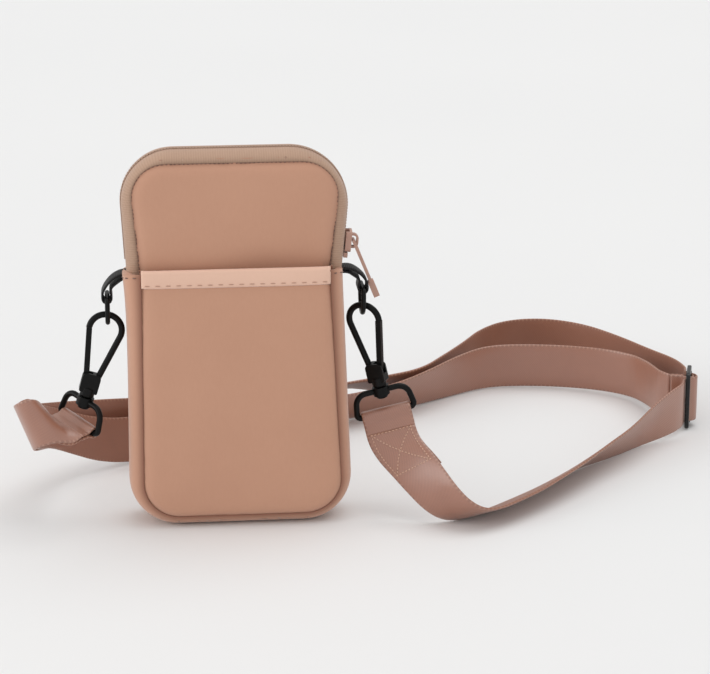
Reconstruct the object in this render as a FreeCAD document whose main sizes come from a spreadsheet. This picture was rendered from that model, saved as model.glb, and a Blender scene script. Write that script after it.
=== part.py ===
"""Zipped neoprene phone pouch with a slip pocket, D-rings, snap hooks and a webbing strap.

Millimetres. The pouch stands on the XY plane with +Z up and its front towards -Y.
The origin is the middle of the pouch's flat base.
"""

import FreeCAD
import Part
import Sketcher
import math
import os
from types import SimpleNamespace

from FreeCAD import Placement, Rotation, Vector

# %% Driving dimensions

SIZES = {
    # Pouch shell, outside sizes
    "pouch_height": 188.0,
    "base_width": 111.0,
    "waist_width": 102.0,
    "top_width": 112.0,
    "zip_end_share": 0.6755,
    "corner_radius": 18.0,
    "inner_depth": 20.0,
    "panel_wall": 3.0,
    "panel_round": 2.0,
    "gusset_bulge": 6.0,
    "gusset_round": 5.0,
    "gusset_wall": 3.0,
    "seam_flange": 3.0,
    # Slip pocket on the front
    "pocket_gap": 5.4,
    "pocket_wall": 2.4,
    "pocket_rise": 4.0,
    "pocket_round": 1.8,
    "hem_wall": 0.8,
    "hem_drop": 12.0,
    "hem_inset": 3.4,
    # Zip along the top
    "tape_wall": 2.0,
    "teeth_slit": 0.8,
    "teeth_width": 1.8,
    "teeth_rise": 1.6,
    "stop_length": 2.5,
    "stop_rise": 2.0,
    "stop_width": 5.6,
    "zip_slider_rise": 14.0,
    "zip_slider_length": 11.0,
    "zip_slider_width": 8.4,
    "zip_slider_plate": 1.3,
    "zip_slider_lip": 1.0,
    "zip_slider_web": 0.4,
    "zip_slider_room": 0.3,
    "zip_slider_corner": 2.4,
    "crown_span": 7.4,
    "crown_bar": 1.1,
    "crown_room": 2.6,
    "crown_width": 2.4,
    "pull_length": 31.0,
    "pull_width": 6.6,
    "pull_neck": 4.4,
    "pull_wall": 1.6,
    "pull_room": 0.86,
    "pull_window_width": 3.2,
    "pull_window_length": 4.8,
    "pull_grip_length": 9.0,
    "pull_grip_wall": 3.0,
    # Ribbon tabs and the D-rings in them
    "tab_width": 10.0,
    "tab_wall": 1.0,
    "tab_room": 0.3,
    "tab_root": 2.6,
    "ring_wire": 2.4,
    "ring_span": 17.4,
    "ring_drop": 13.0,
    "ring_corner": 2.5,
    "ring_split": 0.2,
    "left_ring_room": 8.7,
    "left_ring_below": 12.2,
    "right_ring_room": 5.5,
    "right_ring_below": 10.5,
    # Snap hooks
    "hook_wire": 3.2,
    "hook_arc": 8.0,
    "hook_reach": 40.9,
    "hook_slack": 0.75,
    "hook_nose_angle": 184.0,
    "hook_base_width": 9.2,
    "hook_base_top": 9.8,
    "hook_base_wall": 5.4,
    "hook_foot_out": 2.6,
    "hook_foot_height": 6.0,
    "left_hook_tilt": 17.0,
    "right_hook_tilt": -13.0,
    "left_hook_turn": 0.0,
    "right_hook_turn": 150.0,
    "collar_radius": 3.6,
    "collar_height": 4.8,
    "collar_round": 0.8,
    "post_radius": 1.8,
    "post_head_radius": 2.9,
    "post_head_height": 1.4,
    "gate_wall": 2.6,
    "gate_width": 2.8,
    "gate_room": 0.25,
    "gate_pivot_height": 7.0,
    "gate_slot_depth": 2.7,
    "pin_radius": 0.8,
    "pin_room": 0.05,
    # Swivel eyes
    "eye_wire": 3.0,
    "eye_drop": 17.0,
    "eye_side_room": 0.9,
    "eye_shoulder_in": 2.0,
    "eye_corner": 2.0,
    "eye_shoulder_radius": 6.0,
    "eye_boss_radius": 4.2,
    "eye_boss_height": 4.4,
    "swivel_room": 0.3,
    "post_room": 0.1,
    "left_eye_turn": -50.0,
    "right_eye_turn": 0.0,
    # Webbing strap and its sliding adjuster
    "strap_width": 25.0,
    "strap_wall": 1.4,
    "strap_bar_room": 0.15,
    "right_fold_tail": 14.0,
    "right_fold_lean": 25.0,
    "left_fold_tail": 8.0,
    "left_fold_lean": 70.0,
    "sewn_tail": 10.0,
    "layer_room": 0.5,
    "adjuster_out": 252.0,
    "adjuster_back": 112.0,
    "adjuster_heading": 75.5,
    "adjuster_end": 2.6,
    "adjuster_width": 20.0,
    "adjuster_wall": 2.4,
    "adjuster_rim": 2.4,
    "adjuster_bar": 3.2,
    "adjuster_corner": 3.4,
    "adjuster_round": 0.7,
    "floor_room": 0.2,
    # One overrun for every cut
    "overrun": 4.0,
}

# The strap's route: the middle of the webbing, then the direction across it, chosen by hand
FRONT_ROUTE = (
    ((82.0, -13.0, 29.5), (0.95, -0.08, 0.31)),
    ((90.5, -19.5, 20.5), (0.88, -0.22, 0.42)),
    ((101.0, -25.5, 13.2), (0.74, -0.44, 0.51)),
    ((112.0, -29.5, 9.6), (0.58, -0.58, 0.57)),
    ((124.0, -28.0, 9.4), (0.46, -0.62, 0.63)),
    ((145.0, -12.5, 10.8), (0.32, -0.50, 0.80)),
    ((168.0, 10.5, 11.6), (0.21, -0.40, 0.89)),
    ((193.0, 38.0, 12.6), (0.12, -0.20, 0.97)),
    ((218.0, 68.0, 14.0), (0.02, -0.03, 1.00)),
    ((236.0, 86.5, 15.4), (0.00, 0.00, 1.00)),
)
LEFT_ROUTE = (
    ((-92.5, -8.6, 47.6), (0.55, -0.60, -0.58)),
    ((-98.5, -11.2, 45.7), (0.38, -0.32, -0.87)),
    ((-104.5, -11.0, 43.6), (0.37, -0.20, -0.91)),
    ((-108.0, -6.0, 42.4), (0.37, -0.12, -0.92)),
    ((-108.5, 2.0, 41.6), (0.37, -0.08, -0.93)),
    ((-106.5, 12.0, 40.2), (0.35, -0.05, -0.94)),
    ((-102.5, 26.0, 37.2), (0.30, 0.0, -0.95)),
    ((-96.0, 41.0, 33.0), (0.23, 0.03, -0.97)),
    ((-86.0, 56.0, 27.5), (0.15, 0.05, -0.99)),
    ((-72.0, 69.0, 21.5), (0.08, 0.04, -1.0)),
    ((-54.0, 80.0, 16.5), (0.03, 0.02, -1.0)),
    ((-28.0, 92.5, 13.4), (0.0, 0.0, -1.0)),
    ((2.0, 104.5, 12.9), (0.0, 0.0, -1.0)),
    ((32.0, 116.0, 12.9), (0.0, 0.0, -1.0)),
)
INNER_ROUTE = (
    ((60.0, 127.2, 12.9), (0.00, 0.00, -1.00)),
    ((90.0, 142.5, 12.9), (0.00, 0.00, -1.00)),
    ((118.0, 158.0, 12.9), (0.00, 0.00, -1.00)),
    ((146.0, 172.0, 12.9), (0.00, 0.00, -1.00)),
    ((172.0, 180.0, 12.9), (0.00, 0.00, -1.00)),
    ((197.0, 180.5, 13.2), (0.00, 0.00, -1.00)),
    ((217.0, 171.0, 13.8), (0.00, 0.00, -1.00)),
    ((229.5, 155.0, 14.6), (0.00, 0.00, -1.00)),
    ((234.0, 138.0, 15.3), (0.00, 0.00, -1.00)),
    ((236.0, 124.0, 16.0), (0.00, 0.00, -1.00)),
)
OUTER_ROUTE = (
    ((60.0, 129.6, 12.9), (0.00, 0.00, -1.00)),
    ((88.0, 144.5, 12.9), (0.00, 0.00, -1.00)),
    ((111.0, 165.0, 12.9), (0.00, 0.00, -1.00)),
    ((130.0, 192.0, 12.9), (0.00, 0.00, -1.00)),
    ((147.0, 216.0, 12.9), (0.00, 0.00, -1.00)),
    ((168.0, 231.5, 12.9), (0.00, 0.00, -1.00)),
    ((191.0, 235.5, 12.9), (0.00, 0.00, -1.00)),
    ((213.0, 222.5, 13.0), (0.00, 0.00, -1.00)),
    ((230.0, 199.0, 13.2), (0.00, 0.00, -1.00)),
    ((243.5, 170.0, 14.0), (0.00, 0.00, -1.00)),
    ((251.0, 146.0, 15.4), (0.00, 0.00, -1.00)),
)
# The weave through the adjuster: along its width, then towards its outer face
WEAVE_ROUTE = (
    (16.0, -2.8),
    (11.0, -2.4),
    (7.6, -2.25),
    (5.5, -0.6),
    (4.3, 1.4),
    (2.6, 3.5),
    (0.0, 4.4),
    (-2.6, 3.5),
    (-4.3, 1.4),
    (-5.5, -0.6),
    (-7.6, -2.25),
    (-11.0, -2.4),
)
ROUTE_STEPS = 3

doc = FreeCAD.newDocument("phone_pouch")
sheet = doc.addObject("Spreadsheet::Sheet", "dims")
for row, (alias, value) in enumerate(SIZES.items(), start=1):
    sheet.set(f"A{row}", alias)
    sheet.set(f"B{row}", str(value))
    sheet.setAlias(f"B{row}", alias)
doc.recompute()
size = SimpleNamespace(**SIZES)
subparts = []

# %% Sketching helpers


def origin_plane(body, role):
    """One of a body's own three origin planes."""
    return next(plane for plane in body.Origin.OriginFeatures if plane.Role == role)


def new_body(label):
    """An empty body that is one sub-part of the pouch."""
    body = doc.addObject("PartDesign::Body", label)
    body.Label = label
    subparts.append(body)
    return body


def new_sketch(body, name, role, offset=None):
    """A sketch on one of the body's origin planes, moved along its normal by an expression."""
    sketch = body.newObject("Sketcher::SketchObject", name)
    sketch.AttachmentSupport = [(origin_plane(body, role), "")]
    sketch.MapMode = "FlatFace"
    if offset:
        sketch.setExpression("AttachmentOffset.Base.z", offset)
    return sketch


def add_run(sketch, corners, radii, closed=True):
    """Straight runs between corner points, rounded by tangent arcs, tied end to end."""
    points = [Vector(x, y, 0) for x, y in corners]
    count = len(points)
    trims = []
    for i, (point, radius) in enumerate(zip(points, radii)):
        if not radius:
            trims.append((point, point, None))
            continue
        back = (points[i - 1] - point).normalize()
        ahead = (points[(i + 1) % count] - point).normalize()
        half = back.getAngle(ahead) / 2
        reach = radius / math.tan(half)
        bisector = (back + ahead).normalize()
        centre = point + bisector * (radius / math.sin(half))
        trims.append((point + back * reach, point + ahead * reach, (centre, radius)))
    pieces = []
    for i in range(count):
        entry, leave, arc = trims[i]
        if arc:
            centre, radius = arc
            turn = (entry - centre).cross(leave - centre).z
            first, last = (entry, leave) if turn > 0 else (leave, entry)
            angles = [math.atan2((p - centre).y, (p - centre).x) for p in (first, last)]
            if angles[1] < angles[0]:
                angles[1] += 2 * math.pi
            circle = Part.Circle(centre, Vector(0, 0, 1), radius)
            index = sketch.addGeometry(Part.ArcOfCircle(circle, *angles))
            ends = (1, 2) if turn > 0 else (2, 1)
            pieces.append((index, *ends, True))
        if i + 1 < count or closed:
            index = sketch.addGeometry(Part.LineSegment(leave, trims[(i + 1) % count][0]))
            pieces.append((index, 1, 2, False))
    pairs = list(zip(pieces, pieces[1:] + pieces[:1] if closed else pieces[1:]))
    for (one, _, end, one_arc), (two, start, _, two_arc) in pairs:
        kind = "Tangent" if one_arc or two_arc else "Coincident"
        sketch.addConstraint(Sketcher.Constraint(kind, one, end, two, start))
    return len(pieces)


def add_circle(sketch, radius, expression, x=0.0, y=0.0):
    """A circle whose radius follows the sheet."""
    index = sketch.addGeometry(Part.Circle(Vector(x, y, 0), Vector(0, 0, 1), radius))
    number = sketch.addConstraint(Sketcher.Constraint("Radius", index, radius))
    sketch.setExpression(f"Constraints[{number}]", expression)


def pad(body, sketch, length, symmetric=False, reverse=False):
    """Material added along the sketch's normal."""
    feature = body.newObject("PartDesign::Pad", f"{sketch.Name}_pad")
    feature.Profile = sketch
    feature.setExpression("Length", length)
    feature.SideType = "Symmetric" if symmetric else "One side"
    feature.Reversed = reverse
    doc.recompute()
    return feature


def pocket(body, sketch, length=None, reverse=False):
    """Material cut away along the sketch's normal, to both sides where no length is given."""
    before = body.Shape.Volume
    feature = body.newObject("PartDesign::Pocket", f"{sketch.Name}_pocket")
    feature.Profile = sketch
    if length:
        feature.setExpression("Length", length)
        feature.Reversed = reverse
    else:
        feature.Type = "ThroughAll"
        feature.SideType = "Symmetric"
    doc.recompute()
    if not body.Shape.Volume < before:
        raise RuntimeError(f"{feature.Name} cuts nothing")
    return feature


def pipe(body, profile, path, edges):
    """A section carried along a path."""
    feature = body.newObject("PartDesign::AdditivePipe", f"{path.Name}_pipe")
    feature.Profile = (profile, [""])
    feature.Spine = (path, [f"Edge{i + 1}" for i in range(edges)])
    feature.Transition = "Round corner"
    doc.recompute()
    return feature


def revolve(body, sketch):
    """A sketch turned about the body's own vertical axis."""
    feature = body.newObject("PartDesign::Revolution", f"{sketch.Name}_turned")
    feature.Profile = sketch
    feature.ReferenceAxis = (sketch, ["V_Axis"])
    doc.recompute()
    return feature


def round_edges(body, chosen, radius):
    """Fillets on the edges of the body that the test picks."""
    base = body.Tip
    names = [f"Edge{i + 1}" for i, edge in enumerate(base.Shape.Edges) if chosen(edge)]
    feature = body.newObject("PartDesign::Fillet", f"{body.Label}_rounds")
    feature.Base = (base, names)
    feature.setExpression("Radius", radius)
    doc.recompute()
    return feature


def stand(origin, across, up):
    """A placement from an origin, a local X direction and a local Z direction."""
    return Placement(origin, Rotation(across, up.cross(across), up, "ZXY"))


# %% Pouch shell

base_half = size.base_width / 2 - size.gusset_bulge
waist_half = size.waist_width / 2 - size.gusset_bulge
top_half = size.top_width / 2 - size.gusset_bulge
panel_bottom = size.gusset_bulge
panel_top = size.pouch_height - size.gusset_bulge
zip_end = size.pouch_height * size.zip_end_share
pocket_top = zip_end + size.pocket_rise
slider_height = zip_end + size.zip_slider_rise
inner_half = size.inner_depth / 2
outer_half = inner_half + size.panel_wall
pocket_back = outer_half + size.pocket_gap
side_slope = (top_half - waist_half) / (panel_top - zip_end)
low_slope = (base_half - waist_half) / (zip_end - panel_bottom)
slider_low = slider_height - size.zip_slider_length / 2
stop_height = slider_low - size.stop_length / 2 - size.zip_slider_room

PANEL_OUTLINE = (
    (-base_half, panel_bottom),
    (base_half, panel_bottom),
    (waist_half, zip_end),
    (top_half, panel_top),
    (-top_half, panel_top),
    (-waist_half, zip_end),
)
PANEL_RADII = (size.corner_radius, size.corner_radius, 0, size.corner_radius, size.corner_radius, 0)


def side_half(height):
    """Half the width of the panel outline at a height."""
    if height < zip_end:
        return waist_half + low_slope * (zip_end - height)
    return waist_half + side_slope * (height - zip_end)


def make_panel(label, outward):
    """A neoprene panel with a rounded outer edge, outward of the lining face on one side."""
    body = new_body(label)
    offset = "dims.inner_depth / 2" if outward < 0 else "-dims.inner_depth / 2"
    sketch = new_sketch(body, f"{label}_outline", "XZ_Plane", offset)
    add_run(sketch, PANEL_OUTLINE, PANEL_RADII)
    pad(body, sketch, "dims.panel_wall", reverse=outward > 0)
    face = outward * outer_half

    def on_face(edge):
        """Whether an edge lies on the panel's outer face."""
        return all(abs(v.Y - face) < size.tab_room for v in edge.Vertexes)

    round_edges(body, on_face, "dims.panel_round")
    return body


def half_channel(wall, near):
    """Half of the zip's channel section, as distance out of the panel's edge and depth."""
    out = size.gusset_bulge
    far = inner_half
    outer = [(-size.seam_flange, far), (out, far), (out, near)]
    inner = [(out - wall, near), (out - wall, far - wall), (-size.seam_flange, far - wall)]
    return outer + inner, [0, size.gusset_round, 0, 0, size.gusset_round - wall, 0]


def whole_channel(wall):
    """The lower gusset's channel section, from the back panel forward to the slip pocket's seam."""
    out = size.gusset_bulge
    back = inner_half
    front = -pocket_back
    edge = -size.seam_flange
    outer = [(edge, back), (out, back), (out, front), (edge, front)]
    inner = [(edge, front + wall), (out - wall, front + wall), (out - wall, back - wall), (edge, back - wall)]
    big = size.gusset_round
    small = big - wall
    return outer + inner, [0, big, big, 0, 0, small, small, 0]


def sweep_gusset(body, corners, radii, section_run):
    """A strip carried along the edge of the panels, from a section square to the path's start."""
    (start_x, start_z), (next_x, next_z) = corners[:2]
    path = new_sketch(body, f"{body.Label}_path", "XZ_Plane")
    edges = add_run(path, corners, radii, closed=False)
    section = new_sketch(body, f"{body.Label}_section", "XY_Plane")
    slant = math.degrees(math.atan((next_x - start_x) / (next_z - start_z)))
    section.AttachmentOffset = Placement(Vector(start_x, 0, start_z), Rotation(Vector(0, 1, 0), slant))
    add_run(section, *section_run)
    pipe(body, section, path, edges)


def trim(body, low, high):
    """Cuts away everything between two heights."""
    reach = size.base_width
    sketch = new_sketch(body, f"{body.Label}_trim", "XZ_Plane")
    add_run(sketch, ((-reach, low), (reach, low), (reach, high), (-reach, high)), (0, 0, 0, 0))
    pocket(body, sketch)


def make_lower_gusset():
    """The neoprene strip round the sides and base, open at the zip's ends."""
    body = new_body("lower_gusset")
    start = zip_end + size.overrun
    half = waist_half - low_slope * size.overrun
    corners = ((half, start), (base_half, panel_bottom), (-base_half, panel_bottom), (-half, start))
    radii = (0, size.corner_radius, size.corner_radius, 0)
    sweep_gusset(body, corners, radii, whole_channel(size.gusset_wall))
    trim(body, zip_end, size.pouch_height)
    return body


def sweep_over_top(body, points, rounds):
    """A strip carried along the zip, from below its right end to below its left end."""
    start = zip_end - size.overrun
    half = waist_half - side_slope * size.overrun
    corners = ((half, start), (top_half, panel_top), (-top_half, panel_top), (-half, start))
    radii = (0, size.corner_radius, size.corner_radius, 0)
    sweep_gusset(body, corners, radii, (points, rounds))


def make_zip_tape(label, side):
    """Half of the zip's tape, from the panel's seam to the teeth."""
    body = new_body(label)
    points, rounds = half_channel(size.tape_wall, size.teeth_slit / 2)
    sweep_over_top(body, [(n, side * y) for n, y in points], rounds)
    trim(body, -size.overrun, zip_end)
    return body


def make_zip_teeth(label, side):
    """One row of the zip's teeth, as a bead on the tape's outer face."""
    body = new_body(label)
    low = size.gusset_bulge
    high = low + size.teeth_rise
    near = side * size.teeth_slit / 2
    far = near + side * size.teeth_width
    sweep_over_top(body, ((low, near), (high, near), (high, far), (low, far)), (0, 0, 0, 0))
    lean = math.atan(side_slope)
    stop_top = stop_height + math.cos(lean) * size.stop_length / 2 - math.sin(lean) * size.gusset_bulge
    stop_top = stop_top + max(-math.sin(lean), 0) * size.stop_rise
    trim(body, -size.overrun, stop_top + size.zip_slider_room)
    return body


def zip_side_placement(height, side):
    """A frame on the zip at a height: local X out of the tape, local Z up along it."""
    along = Vector(side * side_slope, 0, 1).normalize()
    out = Vector(side, 0, -side_slope).normalize()
    middle = Vector(side * side_half(height), 0, height) + out * size.gusset_bulge
    return stand(middle, out, along)


def make_zip_stops():
    """The two clamped stops, one at each end of the zip."""
    stops = []
    for name, side in (("right", 1), ("left", -1)):
        stop = doc.addObject("Part::Box", f"zip_stop_{name}")
        stop.setExpression("Length", "dims.stop_rise")
        stop.setExpression("Width", "dims.stop_width")
        stop.setExpression("Height", "dims.stop_length")
        place = zip_side_placement(stop_height, side)
        corner = Vector(0, -size.stop_width / 2, -size.stop_length / 2)
        stop.Placement = place.multiply(Placement(corner, Rotation()))
        stops.append(stop)
    group = doc.addObject("Part::Compound", "zip_stops")
    group.Label = "zip_stops"
    group.Links = stops
    subparts.append(group)
    return group


# %% Slip pocket


def make_pocket_panel():
    """The slip pocket's neoprene front, sewn to the lower gusset and free along its top edge."""
    body = new_body("pocket_panel")
    half = side_half(pocket_top)
    corners = (
        (-base_half, panel_bottom),
        (base_half, panel_bottom),
        (waist_half, zip_end),
        (half, pocket_top),
        (-half, pocket_top),
        (-waist_half, zip_end),
    )
    radii = (size.corner_radius, size.corner_radius, 0, 0, 0, 0)
    offset = "dims.inner_depth / 2 + dims.panel_wall + dims.pocket_gap"
    sketch = new_sketch(body, "pocket_outline", "XZ_Plane", offset)
    add_run(sketch, corners, radii)
    pad(body, sketch, "dims.pocket_wall")
    face = -(pocket_back + size.pocket_wall)

    def sewn_edge(edge):
        on_face = all(abs(v.Y - face) < size.tab_room for v in edge.Vertexes)
        return on_face and min(v.Z for v in edge.Vertexes) < zip_end + size.tab_room

    round_edges(body, sewn_edge, "dims.pocket_round")
    return body


def make_pocket_hem():
    """The turned hem over the pocket's top edge: a front leg and a roof, then a shorter inner leg."""
    body = new_body("pocket_hem")
    inner_face = pocket_back
    outer_face = inner_face + size.pocket_wall
    top = pocket_top + size.hem_wall
    bottom = pocket_top - size.hem_drop
    wide = side_half(bottom) - size.hem_inset
    legs = (
        (-outer_face - size.hem_wall, bottom),
        (-outer_face, bottom),
        (-outer_face, pocket_top),
        (-inner_face, pocket_top),
        (-inner_face, bottom),
        (-inner_face + size.hem_wall, bottom),
        (-inner_face + size.hem_wall, top),
        (-outer_face - size.hem_wall, top),
    )
    sketch = new_sketch(body, "hem_section", "YZ_Plane")
    add_run(sketch, legs, [0] * len(legs))
    pad(body, sketch, f"{2 * wide:.6f}", symmetric=True)
    return body


# %% Zip slider and pull


def make_zip_slider():
    """The slider: two plates on a thin web between the rows of teeth, with a crown for the pull."""
    body = new_body("zip_slider")
    room = size.zip_slider_room
    plate = size.zip_slider_plate
    half = size.zip_slider_width / 2
    lip = half - size.zip_slider_lip
    web = size.zip_slider_web / 2
    top_low = size.teeth_rise + room
    top_high = top_low + plate
    under_high = -size.tape_wall - room
    under_low = under_high - plate
    points = (
        (under_low, -half),
        (under_high, -half),
        (under_high, -web),
        (top_low, -web),
        (top_low, -lip),
        (room, -lip),
        (room, -half),
        (top_high, -half),
    )
    loop = points + tuple((x, -y) for x, y in reversed(points))
    sketch = new_sketch(body, "zip_slider_section", "XY_Plane")
    add_run(sketch, loop, [0] * len(loop))
    pad(body, sketch, "dims.zip_slider_length", symmetric=True)

    def corner(edge):
        ends = edge.Vertexes
        flat = len(ends) == 2 and abs(ends[0].Y - ends[1].Y) < size.pin_room
        level = flat and abs(ends[0].Z - ends[1].Z) < size.pin_room
        return level and abs(abs(ends[0].Y) - half) < size.pin_room

    round_edges(body, corner, "dims.zip_slider_corner")
    span = size.crown_span / 2
    inner = span - size.crown_bar
    roof = top_high + size.crown_room
    arch = new_sketch(body, "crown_arch", "XZ_Plane")
    top = roof + size.crown_bar
    sink = top_high - plate / 2
    arch_points = (
        (sink, -span),
        (top, -span),
        (top, span),
        (sink, span),
        (sink, inner),
        (roof, inner),
        (roof, -inner),
        (sink, -inner),
    )
    big = size.crown_room
    small = size.crown_room - size.crown_bar
    add_run(arch, arch_points, (0, big, big, 0, 0, small, small, 0))
    pad(body, arch, "dims.crown_width", symmetric=True)
    body.Placement = zip_side_placement(slider_height, 1)
    return body


def pull_pivot():
    """The pull's pivot on the slider: a point and the frame that the slider has."""
    place = zip_side_placement(slider_height, 1)
    out = size.teeth_rise + size.zip_slider_room + size.zip_slider_plate + size.crown_room / 2
    return place.multVec(Vector(out, 0, 0))


def make_zip_pull():
    """The pull: a round crossbar under the crown, a flat bar with a window, and a thicker grip."""
    body = new_body("zip_pull")
    half = size.pull_width / 2
    neck = size.pull_neck / 2
    bar = size.pull_wall / 2
    low = -size.pull_length
    shoulder = -size.pull_window_length - size.pull_wall
    waist = shoulder - half
    crossbar = new_sketch(body, "pull_crossbar", "XZ_Plane")
    add_circle(crossbar, bar, "dims.pull_wall / 2")
    pad(body, crossbar, "dims.pull_width", symmetric=True)
    left = ((-half, 0), (-half, shoulder), (-neck, waist), (-neck, low))
    outline = left + tuple((-y, z) for y, z in reversed(left))
    left_rounds = (0, half, half, neck / 2)
    sketch = new_sketch(body, "pull_outline", "YZ_Plane")
    add_run(sketch, outline, left_rounds + left_rounds[::-1])
    pad(body, sketch, "dims.pull_wall", symmetric=True)
    window = new_sketch(body, "pull_window", "YZ_Plane")
    edge = size.pull_window_width / 2
    base = -bar - size.pull_window_length
    add_run(window, ((-edge, -bar), (edge, -bar), (edge, base), (-edge, base)), (0, 0, edge / 2, edge / 2))
    pocket(body, window)
    grip = new_sketch(body, "pull_grip", "YZ_Plane")
    grip_top = low + size.pull_grip_length
    add_run(grip, ((-neck, low), (neck, low), (neck, grip_top), (-neck, grip_top)), [neck / 2] * 4)
    pad(body, grip, "dims.pull_grip_wall", symmetric=True)
    ring = SIDES["right"].ring - pull_pivot()
    clear = size.ring_wire / 2 + size.tab_room + size.tab_wall + size.pull_grip_wall / 2 + size.pull_room
    tilt = math.atan2(ring.x, -ring.z) + math.asin(clear / ring.Length)
    hang = Vector(math.sin(tilt), 0, -math.cos(tilt))
    body.Placement = stand(pull_pivot(), Vector(math.cos(tilt), 0, math.sin(tilt)), -hang)
    return body


# %% Ribbon tabs, D-rings, hooks and eyes

widest_half = max(size.base_width, size.waist_width) / 2
SIDES = {
    "left": SimpleNamespace(
        sign=-1,
        ring=Vector(-widest_half - size.left_ring_room, 0, zip_end - size.left_ring_below),
        tilt=math.radians(size.left_hook_tilt),
        hook_turn=math.radians(size.left_hook_turn),
        eye_turn=math.radians(size.left_eye_turn),
    ),
    "right": SimpleNamespace(
        sign=1,
        ring=Vector(widest_half + size.right_ring_room, 0, zip_end - size.right_ring_below),
        tilt=math.radians(size.right_hook_tilt),
        hook_turn=math.radians(size.right_hook_turn),
        eye_turn=math.radians(size.right_eye_turn),
    ),
}
for spot in SIDES.values():
    spot.axis = Vector(math.sin(spot.tilt), 0, math.cos(spot.tilt))
    flat = Vector(math.cos(spot.tilt), 0, -math.sin(spot.tilt))
    deep = Vector(0, 1, 0)
    spot.hook_across = flat * math.cos(spot.hook_turn) + deep * math.sin(spot.hook_turn)
    spot.bar = flat * math.cos(spot.eye_turn) + deep * math.sin(spot.eye_turn)
    seat = (size.hook_wire + size.ring_wire) / 2 + size.hook_slack
    hook_top = spot.ring - Vector(0, 0, size.ring_drop) + spot.axis * seat
    spot.collar = hook_top - spot.axis * size.hook_reach
    spot.bar_middle = spot.collar - spot.axis * size.eye_drop


def tangent_points(middle, radius, point):
    """The two points where lines from a point touch a circle, left of the line of sight first."""
    away = point - middle
    reach = math.atan2(away.y, away.x)
    spread = math.acos(radius / away.Length)
    return [middle + Vector(math.cos(a), math.sin(a), 0) * radius for a in (reach + spread, reach - spread)]


def make_ring_tab(name):
    """A ribbon folded round the D-ring's bar and sewn to the side of the pouch."""
    spot = SIDES[name]
    body = new_body(f"{name}_ring_tab")
    hole = size.ring_wire / 2 + size.tab_room
    round_out = hole + size.tab_wall
    bar = Vector(spot.ring.x, spot.ring.z, 0)
    root_height = zip_end - size.tab_root
    bulge = size.gusset_bulge * math.hypot(1, low_slope)
    root_top = Vector(spot.sign * (waist_half + bulge), zip_end, 0)
    root_low = Vector(spot.sign * (side_half(root_height) + bulge), root_height, 0)
    right = spot.sign > 0
    upper = tangent_points(bar, round_out, root_top)[right]
    lower = tangent_points(bar, round_out, root_low)[not right]
    outline = new_sketch(body, f"{name}_tab_outline", "XZ_Plane")
    far = bar + (bar - (root_top + root_low) / 2).normalize() * round_out
    for line in ((lower, root_low), (root_low, root_top), (root_top, upper)):
        outline.addGeometry(Part.LineSegment(*line))
    outline.addGeometry(Part.Arc(upper, far, lower))
    for one in range(4):
        following = (one + 1) % 4
        touching = [
            (a, b)
            for a in (1, 2)
            for b in (1, 2)
            if outline.getPoint(one, a).distanceToPoint(outline.getPoint(following, b)) < size.pin_room
        ]
        first, second = touching[0]
        outline.addConstraint(Sketcher.Constraint("Coincident", one, first, following, second))
    add_circle(outline, hole, "dims.ring_wire / 2 + dims.tab_room", bar.x, bar.y)
    pad(body, outline, "dims.tab_width", symmetric=True)
    return body


def make_d_ring(name):
    """A D of bent wire whose ends meet in the middle of its straight bar."""
    spot = SIDES[name]
    body = new_body(f"{name}_d_ring")
    half = size.ring_span / 2
    gap = size.ring_split / 2
    low = -size.ring_drop
    path = new_sketch(body, f"{name}_ring_path", "YZ_Plane")
    corners = ((gap, 0), (half, 0), (half, low), (-half, low), (-half, 0), (-gap, 0))
    bow = half - size.ring_split
    edges = add_run(path, corners, (0, size.ring_corner, bow, bow, size.ring_corner, 0), closed=False)
    section = new_sketch(body, f"{name}_ring_section", "XZ_Plane", "-dims.ring_split / 2")
    add_circle(section, size.ring_wire / 2, "dims.ring_wire / 2")
    pipe(body, section, path, edges)
    body.Placement = Placement(spot.ring, Rotation())
    return body


def hook_frame(name):
    """The hook's frame: local Z along its axis, local X towards its solid side."""
    spot = SIDES[name]
    return stand(spot.collar, spot.hook_across, spot.axis)


def gate_pivot():
    """The gate's pivot in the hook's frame."""
    return Vector(-size.hook_foot_out, 0, size.gate_pivot_height)


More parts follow.
